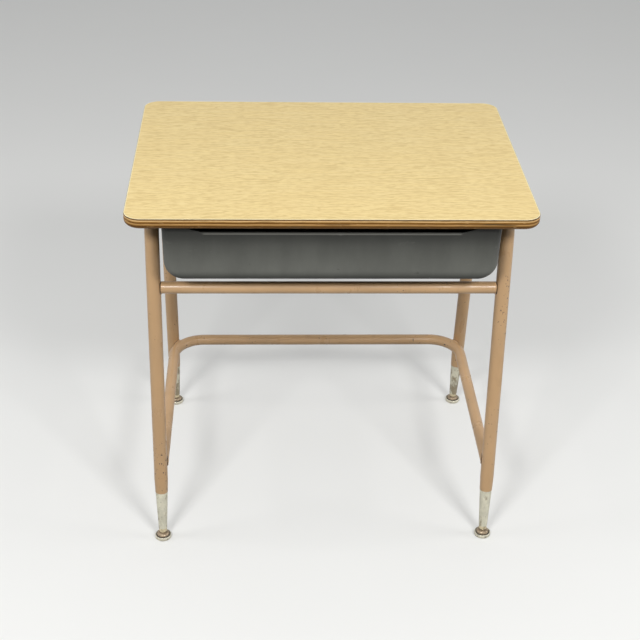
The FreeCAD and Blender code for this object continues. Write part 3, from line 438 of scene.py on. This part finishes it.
def plywood_finish():
    """Plywood edge: seven plies, pale along the grain and dark across it, darker below from stain
    and painted shade.
    """
    shades = finishes()
    finish = Finish("plywood_edge")
    finish.shader.inputs["Specular IOR Level"].default_value = 0.18
    low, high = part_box("lid_core")
    ripple = finish.noise((8, 8, 20), detail=2)
    height = finish.calc("ADD", finish.axes()["Z"], finish.sway(ripple, 2.2 * MM))
    span = {"Value": height, "From Min": low.z, "From Max": high.z}
    share = finish.add("MapRange", span).outputs["Result"]
    pale, warm, mid, dark = shades.ply_pale, shades.ply_warm, shades.ply_mid, shades.ply_dark
    # The dark bands at the very top and bottom are ply colour and also painted shade, under the
    # laminate's edge and on the rounded underside
    tone = finish.bands(share, [
        (0.0, dark), (0.05, dark), (0.11, mid), (0.22, mid), (0.27, dark), (0.38, dark),
        (0.43, mid), (0.51, warm), (0.58, warm), (0.62, dark), (0.70, dark), (0.75, mid),
        (0.80, mid), (0.83, pale), (0.92, pale), (0.95, dark), (1.0, dark),
    ])
    # Darker towards the bottom: stain, with painted shade of the rounded underside
    stain = finish.limits(share, 0.0, 0.6, 0.55, 1.0)
    tone = finish.mix(1.0, tone, finish.grey(stain), "MULTIPLY")
    fibre = finish.noise((26, 26, 480), detail=3, offset=(4, 1, 2))
    tone = finish.mix(finish.limits(fibre, 0.48, 0.72, 0.0, 0.55), tone, shades.ply_fibre)
    glint = finish.noise((70, 70, 420), detail=2, offset=(7, 3, 6))
    tone = finish.mix(finish.limits(glint, 0.60, 0.74, 0.0, 0.40), tone, pale)
    gap = finish.noise((11, 11, 300), detail=1, offset=(2, 8, 5))
    tone = finish.mix(finish.limits(gap, 0.68, 0.72, 0.0, 0.9), tone, shades.kraft)
    finish.coloured(tone)
    finish.rough(finish.limits(fibre, 0.3, 0.7, 0.40, 0.62))
    finish.bump(fibre, 0.12 * MM)
    return finish.material


def backer_finish():
    """Plain brown backer sheet with a faint mottle."""
    finish = Finish("backer_sheet", roughness=0.62)
    shade = finishes().backer
    mottle = finish.noise((90, 90, 90), detail=4)
    finish.coloured(finish.mix(mottle, shade, toned(shade, 1.5)))
    finish.bump(mottle, 0.04 * MM)
    return finish.material


def paint_finish(name, lumps, crevice):
    """Tan enamel, sprayed a little uneven, with chips and rubs.

    Dirt gathers beside the legs on the pieces that meet them (crevice); behind the rails' ends the
    legs get dirt and painted shade of the gap.
    """
    shades = finishes()
    paint = shades.paint
    finish = Finish(name)
    cloud = finish.noise((9, 9, 5), detail=3)
    shade = finish.mix(finish.limits(cloud, 0.3, 0.7), toned(paint, 0.90), toned(paint, 1.06))
    rub = finish.noise((34, 34, 13), detail=4, offset=(5, 2, 8))
    shade = finish.mix(finish.limits(rub, 0.6, 0.75, 0.0, 0.35), shade, toned(paint, 0.72))
    speck = finish.noise((300, 300, 220), detail=2, offset=(1, 6, 3))
    patch = finish.noise((16, 16, 9), detail=2, offset=(2, 8, 4))
    chance = finish.product(speck, finish.limits(patch, 0.35, 0.75, 0.84, 1.12))
    chip = finish.limits(chance, 0.70, 0.725)
    shade = finish.mix(chip, shade, shades.paint_chip_dirt_and_shade)
    if crevice:
        dirt = finish.noise((160, 160, 160), detail=3, offset=(3, 3, 9))
        reach = finish.limits(dirt, 0.3, 0.7, 0.9 * MM, 2.4 * MM)
        gathered = finish.calc("SUBTRACT", 1.0, finish.calc("DIVIDE", leg_distance(finish), reach))
        dirt_and_gap_shade, relief = finish.limits(gathered, 0.0, 0.6, 0.0, 0.92), 0.5 * MM
    else:
        # Painted shade, with dirt, on the leg in the narrow gap behind a rail's cut end
        dirt_and_gap_shade, relief = finish.product(rail_gap(finish), 0.85), 0.06 * MM
    finish.coloured(finish.mix(dirt_and_gap_shade, shade, shades.paint_chip_dirt_and_shade))
    finish.rough(finish.limits(rub, 0.35, 0.75, 0.27, 0.50))
    peel = finish.noise((lumps, lumps, lumps), detail=1, offset=(2, 2, 2))
    finish.bump(finish.calc("SUBTRACT", finish.product(peel, 0.25), chip), relief)
    return finish.material


def box_finish():
    """Grey moulded plastic: grain, smudges, rubs, painted shade on the front wall and the notch's
    rim, a painted highlight along the notch.
    """
    shades = finishes()
    finish = Finish("grey_moulded_plastic")
    finish.shader.inputs["Specular IOR Level"].default_value = 0.22
    low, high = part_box("book_box")
    x, y, z = finish.axes()
    # Painted shade: the front wall darker towards the top, where the lid shades it, and paler lower
    # down
    wall = finish.limits(z, low.z + 15 * MM, high.z - 4 * MM, 1.18, 0.46)
    # Painted shade: darker along the rounded bottom edge
    foot = finish.limits(z, low.z + 2.5 * MM, low.z + 18.5 * MM, 0.28, 1.0)
    # Painted shade of the lid's overhang at the top of the wall
    painted_lid_shade = finish.limits(z, high.z - 36 * MM, high.z - 9 * MM, 1.0, 0.55)
    # Only the front gets the painted shade; behind it the plastic is a plain tone
    behind = finish.limits(y, low.y + 24 * MM, low.y + 40 * MM)
    front_painted_shade = finish.product(wall, foot, painted_lid_shade, finish.calc("SUBTRACT", 1.0, behind))
    painted_shade_and_smudge = finish.calc("ADD", front_painted_shade, finish.product(behind, 0.9))
    smudge = finish.noise((30, 30, 11), detail=4, offset=(2, 5, 1))
    painted_shade_and_smudge = finish.product(painted_shade_and_smudge, finish.limits(smudge, 0.3, 0.7, 0.92, 1.08))
    shade = finish.mix(1.0, shades.box, finish.grey(painted_shade_and_smudge), "MULTIPLY")
    scuff = finish.noise((24, 24, 60), detail=5, roughness=0.7, offset=(3, 1, 4))
    shade = finish.mix(finish.limits(scuff, 0.60, 0.82, 0.0, 0.3), shade, shades.box_scuff_and_highlight)
    scratch = finish.noise((70, 70, 300), detail=2, offset=(8, 3, 2))
    shade = finish.mix(finish.limits(scratch, 0.74, 0.80, 0.0, 0.3), shade, shades.box_scuff_and_highlight)
    rub = finish.noise((52, 52, 60), detail=3, offset=(5, 9, 7))
    shade = finish.mix(finish.limits(rub, 0.69, 0.77, 0.0, 0.6), shade, shades.box_mark_and_shade)
    rim = shades.notch_level
    # Painted highlight: a pale line just under the notch's rim, where its rounded edge would catch
    # light
    lower = finish.limits(z, rim - 4.0 * MM, rim - 2.4 * MM)
    upper = finish.limits(z, rim - 1.6 * MM, rim - 0.8 * MM, 1.0, 0.0)
    front = finish.limits(y, low.y + 2.0 * MM, low.y + 4.0 * MM, 0.5, 0.0)
    half = shades.notch_half
    within = finish.limits(finish.calc("ABSOLUTE", x), half - 6.0 * MM, half, 1.0, 0.0)
    shade = finish.mix(finish.product(lower, upper, front, within), shade, shades.box_scuff_and_highlight)
    # Painted shade: the top of the notch's rim darkened, so the notch looks deeper
    painted_notch_shade = finish.product(finish.limits(z, rim - 1.6 * MM, rim - 0.6 * MM, 0.0, 0.8), within)
    finish.coloured(finish.mix(painted_notch_shade, shade, shades.box_mark_and_shade))
    finish.rough(finish.limits(scuff, 0.35, 0.7, 0.40, 0.56))
    grain = finish.noise((900, 900, 900), detail=2)
    finish.bump(grain, 0.05 * MM)
    return finish.material


def tip_finish():
    """Bone-white plated tips, mottled, with brown stains low down and more on the rear ones, partly
    painted shade.
    """
    shades = finishes()
    finish = Finish("bone_white_tip", metallic=0.08)
    axes = finish.axes()
    mottle = finish.noise((60, 60, 40), detail=5, roughness=0.65)
    shade = finish.mix(finish.limits(mottle, 0.35, 0.66), toned(shades.tip, 0.78), shades.tip)
    stain = finish.noise((110, 110, 70), detail=4, offset=(6, 4, 1))
    lower = finish.limits(axes["Z"], 22 * MM, 62 * MM, 0.09, 0.0)
    # Rear tips stained more: stain, with painted shade
    rear = finish.limits(axes["Y"], -50 * MM, 50 * MM, 0.0, 0.15)
    chance = finish.calc("ADD", finish.calc("ADD", stain, lower), rear)
    shade = finish.mix(finish.limits(chance, 0.58, 0.74, 0.0, 0.8), shade, shades.tip_stain_and_shade)
    speck = finish.noise((520, 520, 380), detail=1, offset=(2, 9, 5))
    finish.coloured(finish.mix(finish.limits(speck, 0.70, 0.76, 0.0, 0.7), shade, shades.grime))
    finish.rough(finish.limits(mottle, 0.3, 0.7, 0.34, 0.56))
    finish.bump(stain, 0.05 * MM)
    return finish.material


def nickel_finish(name, shade):
    """Plate of the glides with brown grime in patches."""
    finish = Finish(name, metallic=0.55)
    grime = finish.noise((170, 170, 260), detail=4, roughness=0.6)
    share = finish.limits(grime, 0.50, 0.74, 0.0, 0.8)
    finish.coloured(finish.mix(share, shade, finishes().grime))
    finish.rough(finish.limits(grime, 0.3, 0.7, 0.26, 0.55))
    finish.bump(grime, 0.04 * MM)
    return finish.material


def worn_metal_finish(name, shade, stain, metallic, scale):
    """Small metal fittings: a dull plate with stains."""
    finish = Finish(name, metallic=metallic)
    patch = finish.noise((scale, scale, scale), detail=4, roughness=0.6)
    finish.coloured(finish.mix(finish.limits(patch, 0.48, 0.72, 0.0, 0.8), shade, stain))
    finish.rough(finish.limits(patch, 0.3, 0.7, 0.32, 0.55))
    finish.bump(patch, 0.03 * MM)
    return finish.material


def soft_finish(name, shade, roughness, scale):
    """Rubber and nylon: a matte surface with a faint mottle."""
    finish = Finish(name, roughness=roughness)
    mottle = finish.noise((scale, scale, scale), detail=3)
    finish.coloured(finish.mix(mottle, toned(shade, 0.8), toned(shade, 1.2)))
    finish.bump(mottle, 0.05 * MM)
    return finish.material


# Pieces

def islands(name):
    """The lowest and highest corner of each separate solid in a CAD node."""
    shape = bmesh.new()
    shape.from_mesh(frame["nodes"][name].data)
    bmesh.ops.remove_doubles(shape, verts=shape.verts, dist=MERGE)
    waiting = set(shape.verts)
    boxes = []
    while waiting:
        found = [waiting.pop()]
        for vert in found:
            for edge in vert.link_edges:
                other = edge.other_vert(vert)
                if other in waiting:
                    waiting.discard(other)
                    found.append(other)
        low = Vector([min(vert.co[axis] for vert in found) for axis in range(3)])
        high = Vector([max(vert.co[axis] for vert in found) for axis in range(3)])
        boxes.append((low, high))
    shape.free()
    return boxes


def screw_mesh(radius, depth):
    """A pan-head screw with a cross recess, head up: a profile spun round, cut across and sunk."""
    sizes = bpy.context.scene.desk_screw
    height, shank = sizes.head_height, sizes.shank / 2
    points = [(share * radius, -drop * height) for share, drop in HEAD_OUTLINE]
    points += [(shank, -height), (shank, -depth + shank), (0, -depth)]
    shape = bmesh.new()
    verts = [shape.verts.new((across, 0, up)) for across, up in points]
    edges = [shape.edges.new(pair) for pair in zip(verts, verts[1:])]
    bmesh.ops.spin(shape, geom=verts + edges, cent=(0, 0, 0), axis=(0, 0, 1), angle=math.tau,
                   steps=SCREW_STEPS, use_merge=True)
    bmesh.ops.remove_doubles(shape, verts=shape.verts, dist=MERGE)
    half, reach = sizes.recess_width / 2, sizes.recess_span / 2
    for across in ((1, 0, 0), (0, 1, 0)):
        for place in (-reach, -half, half, reach):
            bmesh.ops.bisect_plane(shape, geom=[*shape.verts, *shape.edges, *shape.faces],
                                   dist=SNAP, plane_co=Vector(across) * place, plane_no=across)
    cross = [face for face in shape.faces if is_cross(face, half, reach, height)]
    sunk = bmesh.ops.extrude_face_region(shape, geom=cross)["geom"]
    floor = [item for item in sunk if isinstance(item, bmesh.types.BMVert)]
    bmesh.ops.delete(shape, geom=cross, context="FACES_ONLY")
    bmesh.ops.translate(shape, verts=floor, vec=(0, 0, -sizes.recess_depth))
    bmesh.ops.scale(shape, verts=floor, vec=(RECESS_TAPER, RECESS_TAPER, 1.0))
    bmesh.ops.recalc_face_normals(shape, faces=shape.faces)
    mesh = bpy.data.meshes.new("screw")
    shape.to_mesh(mesh)
    shape.free()
    return mesh


def is_cross(face, half, reach, height):
    """Whether a face on top of a screw's head lies in the arms of the cross."""
    middle = face.calc_center_median()
    arms = sorted((abs(middle.x), abs(middle.y)))
    return middle.z > -height / 2 and arms[0] < half and arms[1] < reach


def make_screws(name, node, body, material, head_up):
    """All screws of one group as one piece that stands for the plain ones."""
    boxes = islands(node)
    low, high = boxes[0]
    screw = screw_mesh((high.x - low.x) / 2, high.z - low.z)
    over = Matrix() if head_up else Matrix.Rotation(math.pi, 4, "X")
    shape = bmesh.new()
    for number, (low, high) in enumerate(boxes):
        first = len(shape.verts)
        shape.from_mesh(screw)
        shape.verts.ensure_lookup_table()
        turn = Matrix.Rotation(number * bpy.context.scene.desk_screw.slack_turn, 4, "Z")
        middle = (low + high) / 2
        place = Matrix.Translation((middle.x, middle.y, high.z if head_up else low.z))
        bmesh.ops.transform(shape, matrix=place @ over @ turn, verts=shape.verts[first:])
    settle(shape, name, material, body, node)


def settle(shape, name, material, body, node):
    """Makes a shape a piece that stands for a CAD node."""
    mesh = bpy.data.meshes.new(name)
    shape.to_mesh(mesh)
    shape.free()
    mesh.polygons.foreach_set("use_smooth", [True] * len(mesh.polygons))
    mesh.set_sharp_from_angle(angle=SHARP)
    mesh.materials.append(material)
    piece = bpy.data.objects.new(name, mesh)
    bpy.context.scene.collection.objects.link(piece)
    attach(piece, body)
    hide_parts(node)


def make_rail(name, node, material):
    """A rail tube with square-cut ends against the legs, each end's bore open for a little way."""
    sizes = bpy.context.scene.desk_rail
    low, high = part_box(node)
    half = rail_reach() + sizes.bite
    radius = (high.z - low.z) / 2
    shape = bmesh.new()
    bmesh.ops.create_cone(shape, cap_ends=True, segments=TUBE_SEGMENTS, radius1=radius,
                          radius2=radius, depth=2 * half)
    rims = [edge for edge in shape.edges if abs(edge.verts[0].co.z - edge.verts[1].co.z) < half]
    bmesh.ops.bevel(shape, geom=rims, offset=sizes.end_round, offset_type="OFFSET", affect="EDGES",
                    segments=ROUND_SEGMENTS, profile=0.5, material=-1)
    caps = [face for face in shape.faces if len(face.verts) > 4]
    land = max(sizes.wall - sizes.end_round, LEAST_LAND)
    bmesh.ops.inset_region(shape, faces=caps, thickness=land)
    for cap in caps:
        inward = -cap.normal * sizes.bore_depth
        sunk = bmesh.ops.extrude_face_region(shape, geom=[cap])["geom"]
        floor = [item for item in sunk if isinstance(item, bmesh.types.BMVert)]
        bmesh.ops.translate(shape, verts=floor, vec=inward)
    bmesh.ops.delete(shape, geom=caps, context="FACES_ONLY")
    place = Matrix.Translation((low + high) / 2) @ Matrix.Rotation(math.pi / 2, 4, "Y")
    bmesh.ops.transform(shape, matrix=place, verts=shape.verts)
    settle(shape, name, material, "frame", node)


def add_tack(shape, rail, inside, side):
    """Drops of weld in a row round the inner lower side of one end of a rail."""
    sizes = bpy.context.scene.desk_rail
    low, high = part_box(rail)
    middle, radius = (low + high) / 2, (high.z - low.z) / 2
    flattened = Matrix.Diagonal((1.0, DROP_FLATNESS, DROP_FLATNESS, 1.0))
    for drop in range(sizes.tack_drops):
        share = drop / (sizes.tack_drops - 1)
        angle = sizes.tack_first + (sizes.tack_last - sizes.tack_first) * share
        across, above = radius * math.sin(angle), radius * math.cos(angle)
        face = leg_x() - math.sqrt(finishes().leg_radius ** 2 - across ** 2)
        gap = face - rail_reach()
        unevenness = DROP_UNEVENNESS * math.sin(DROP_RHYTHM * drop + side)
        size = (sizes.tack + gap / 2) * (1 + unevenness)
        spot = (side * (face - gap / 2), middle.y + inside * across, middle.z + above)
        bmesh.ops.create_icosphere(shape, subdivisions=DROP_SUBDIVISIONS, radius=size,
                                   matrix=Matrix.Translation(spot) @ flattened)


def make_welds(name, node, material):
    """The stretcher's weld beads, and drops of weld that tack the rails' ends from inside."""
    shape = bmesh.new()
    shape.from_mesh(frame["nodes"][node].data)
    bmesh.ops.remove_doubles(shape, verts=shape.verts, dist=MERGE)
    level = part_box(RAILS[0])[0].z - RAIL_ROOM
    rings = [vert for vert in shape.verts if vert.co.z > level]
    bmesh.ops.delete(shape, geom=rings, context="VERTS")
    for rail, inside in zip(RAILS, (1, -1)):
        for side in (-1, 1):
            add_tack(shape, rail, inside, side)
    settle(shape, name, material, "frame", node)


# Stage

def lay_floor(settings):
    """A wide plain floor that the glides stand on."""
    mesh = bpy.data.meshes.new("floor")
    shape = bmesh.new()
    bmesh.ops.create_grid(shape, x_segments=1, y_segments=1, size=FLOOR_HALF)
    shape.to_mesh(mesh)
    shape.free()
    floor = bpy.data.objects.new("floor", mesh)
    bpy.context.scene.collection.objects.link(floor)
    finish = Finish("pale_floor", roughness=0.85)
    mottle = finish.noise((3, 3, 3), detail=3)
    pale = finish.mix(mottle, toned(settings.floor, 0.97), settings.floor)
    seen = seen_directly(finish.tree)
    finish.coloured(finish.mix(seen, settings.floor_bounce, pale))
    finish.shader.inputs["Emission Color"].default_value = (*settings.floor, 1.0)
    lift = finish.product(seen, settings.floor_lift)
    finish.give(finish.shader.inputs["Emission Strength"], lift)
    mesh.materials.append(finish.material)


def seen_directly(tree):
    """1 for what the camera sees, straight or by a mirror or glass, and 0 for bounced light."""
    path = tree.nodes.new("ShaderNodeLightPath")
    share = path.outputs["Is Camera Ray"]
    for name in ("Is Glossy Ray", "Is Transmission Ray"):
        either = tree.nodes.new("ShaderNodeMath")
        either.operation = "MAXIMUM"
        tree.links.new(share, either.inputs[0])
        tree.links.new(path.outputs[name], either.inputs[1])
        share = either.outputs["Value"]
    return share


def add_lamp(name, lamp, power, side=1):
    """A soft oblong lamp that faces a point; a side of -1 mirrors its place."""
    (across, along, up), target, width, height = lamp
    place = Vector((side * across, along, up))
    light = bpy.data.lights.new(name, "AREA")
    light.shape = "RECTANGLE"
    light.size = width
    light.size_y = height
    light.energy = power
    holder = bpy.data.objects.new(name, light)
    holder.visible_camera = False
    holder.location = place
    holder.rotation_euler = (Vector(target) - place).to_track_quat("-Z", "Y").to_euler()
    bpy.context.scene.collection.objects.link(holder)


def light_stage(settings):
    """A sky brighter behind, two lamps high in front, weaker ones overhead and at each side."""
    world = bpy.data.worlds.new("studio")
    world.use_nodes = True
    tree = world.node_tree
    background = tree.nodes["Background"]
    background.inputs["Color"].default_value = (*settings.sky, 1.0)
    place = tree.nodes.new("ShaderNodeTexCoord")
    heading = tree.nodes.new("ShaderNodeSeparateXYZ")
    tree.links.new(place.outputs["Generated"], heading.inputs["Vector"])
    sky = tree.nodes.new("ShaderNodeMapRange")
    sky.inputs["From Min"].default_value = SKY_START
    sky.inputs["To Min"].default_value = settings.sky_strength
    sky.inputs["To Max"].default_value = settings.back_strength
    tree.links.new(heading.outputs["Y"], sky.inputs["Value"])
    shown = tree.nodes.new("ShaderNodeMapRange")
    tree.links.new(sky.outputs["Result"], shown.inputs["To Min"])
    shown.inputs["To Max"].default_value = settings.backdrop_strength
    tree.links.new(seen_directly(tree), shown.inputs["Value"])
    tree.links.new(shown.outputs["Result"], background.inputs["Strength"])
    bpy.context.scene.world = world
    for side in (-1, 1):
        add_lamp("key", KEY_LAMP, settings.key_power, side)
    add_lamp("top", TOP_LAMP, settings.top_power)
    for side in (-1, 1):
        add_lamp("side", SIDE_LAMP, settings.side_power, side)


def place_camera(settings):
    """The camera that took the photograph: place, three turns and a focal length in pixels."""
    yaw, pitch, roll = settings.camera_yaw, settings.camera_pitch, settings.camera_roll
    level = math.cos(pitch)
    ahead = Vector((math.sin(yaw) * level, math.cos(yaw) * level, -math.sin(pitch)))
    right = Vector((math.cos(yaw), -math.sin(yaw), 0))
    down = ahead.cross(right)
    side = right * math.cos(roll) + down * math.sin(roll)
    foot = down * math.cos(roll) - right * math.sin(roll)
    lens = bpy.data.cameras.new("camera")
    lens.sensor_width = SENSOR_WIDTH
    lens.lens = settings.focal_pixels * SENSOR_WIDTH / IMAGE_SIZE
    camera = bpy.data.objects.new("camera", lens)
    turned = Matrix((side, -foot, -ahead)).transposed().to_4x4()
    camera.matrix_world = Matrix.Translation(settings.camera_place) @ turned
    bpy.context.scene.collection.objects.link(camera)
    bpy.context.scene.camera = camera


# Operators

class DESK_OT_lid(bpy.types.Operator):
    """Finish the lid: laminate, plywood edge, backer and bumpers"""

    bl_idname = "desk.lid"
    bl_label = "Lid"

    def execute(self, context):
        dress(laminate_finish(), "lid_laminate")
        dress(plywood_finish(), "lid_core")
        dress(backer_finish(), "lid_backer")
        rubber = soft_finish("bumper_rubber", finishes().rubber, roughness=0.7, scale=300)
        dress(rubber, "lid_bumpers")
        return {"FINISHED"}


class DESK_OT_frame(bpy.types.Operator):
    """Paint the tubes, ears and welds of the frame"""

    bl_idname = "desk.frame"
    bl_label = "Frame"

    def execute(self, context):
        bars = paint_finish("tan_enamel_bars", lumps=420, crevice=True)
        welds = paint_finish("tan_enamel_welds", lumps=240, crevice=True)
        dress(paint_finish("tan_enamel", lumps=420, crevice=False), *SIDE_FRAMES, *EARS)
        dress(bars, *RAILS, "lower_stretcher")
        dress(welds, "frame_welds")
        for rail in RAILS:
            make_rail(f"{rail}_tube", rail, bars)
        make_welds("frame_weld_beads", "frame_welds", welds)
        return {"FINISHED"}


class DESK_OT_book_box(bpy.types.Operator):
    """Finish the moulded book box"""

    bl_idname = "desk.book_box"
    bl_label = "Book Box"

    def execute(self, context):
        dress(box_finish(), "book_box")
        return {"FINISHED"}


class DESK_OT_hinges(bpy.types.Operator):
    """Finish hinge brackets, pins, washers and all screws"""

    bl_idname = "desk.hinges"
    bl_label = "Hinges and Screws"

    def execute(self, context):
        shades = finishes()
        zinc = worn_metal_finish("dull_zinc", shades.zinc, shades.grime, metallic=0.85, scale=150)
        dress(zinc, "left_hinge_bracket", "right_hinge_bracket", "left_hinge_pin",
              "right_hinge_pin", "hinge_bracket_screws", "book_box_screws")
        make_screws("bracket_cross_screws", "hinge_bracket_screws", "lid", zinc, head_up=False)
        make_screws("rim_cross_screws", "book_box_screws", "frame", zinc, head_up=True)
        nylon = soft_finish("washer_nylon", shades.nylon, roughness=0.5, scale=200)
        dress(nylon, "left_hinge_washer", "right_hinge_washer")
        return {"FINISHED"}


class DESK_OT_feet(bpy.types.Operator):
    """Finish leg tips and swivel glides"""

    bl_idname = "desk.feet"
    bl_label = "Feet"

    def execute(self, context):
        shades = finishes()
        pieces = {
            "leg_tip": tip_finish(),
            "glide_stem": nickel_finish("gold_collar", shades.collar),
            "glide_base": nickel_finish("pale_nickel", shades.nickel),
            "glide_cushion": soft_finish("cushion_rubber", shades.cushion,
                                         roughness=0.7, scale=400),
            "glide_retainer": worn_metal_finish("brown_retainer", shades.retainer, shades.grime,
                                                metallic=0.4, scale=220),
        }
        for corner in CORNERS:
            for piece, material in pieces.items():
                dress(material, f"{corner}_{piece}")
        return {"FINISHED"}


class DESK_OT_stage(bpy.types.Operator):
    """Set the floor, the light and the camera"""

    bl_idname = "desk.stage"
    bl_label = "Stage"

    def execute(self, context):
        settings = context.scene.desk_stage
        lay_floor(settings)
        light_stage(settings)
        place_camera(settings)
        context.scene.view_settings.view_transform = "Standard"
        return {"FINISHED"}


OPERATORS = (DESK_OT_lid, DESK_OT_frame, DESK_OT_book_box, DESK_OT_hinges, DESK_OT_feet,
             DESK_OT_stage)


# Panel and registration

class DESK_PT_panel(bpy.types.Panel):
    """Lists the desk's operators and settings"""

    bl_idname = "DESK_PT_panel"
    bl_label = "School Desk"
    bl_space_type = "VIEW_3D"
    bl_region_type = "UI"
    bl_category = "Desk"

    def draw(self, context):
        for operator in OPERATORS:
            self.layout.operator(operator.bl_idname)
        scene = context.scene
        for group in (scene.desk_finish, scene.desk_screw, scene.desk_rail, scene.desk_stage):
            column = self.layout.column()
            for name in group.__annotations__:
                column.prop(group, name)


SETTINGS = (DeskFinishSettings, DeskScrewSettings, DeskRailSettings, DeskStageSettings)
CLASSES = (*SETTINGS, *OPERATORS, DESK_PT_panel)


def register():
    """Registers the classes and hangs the settings on the scene."""
    for item in CLASSES:
        bpy.utils.register_class(item)
    bpy.types.Scene.desk_finish = PointerProperty(type=DeskFinishSettings)
    bpy.types.Scene.desk_screw = PointerProperty(type=DeskScrewSettings)
    bpy.types.Scene.desk_rail = PointerProperty(type=DeskRailSettings)
    bpy.types.Scene.desk_stage = PointerProperty(type=DeskStageSettings)


def unregister():
    """Takes away what register added."""
    del bpy.types.Scene.desk_stage
    del bpy.types.Scene.desk_rail
    del bpy.types.Scene.desk_screw
    del bpy.types.Scene.desk_finish
    for item in reversed(CLASSES):
        bpy.utils.unregister_class(item)


def main():
    """Runs the operators in order."""
    register()
    for operator in OPERATORS:
        group, name = operator.bl_idname.split(".")
        getattr(getattr(bpy.ops, group), name)()


if __name__ == "__main__":
    main()
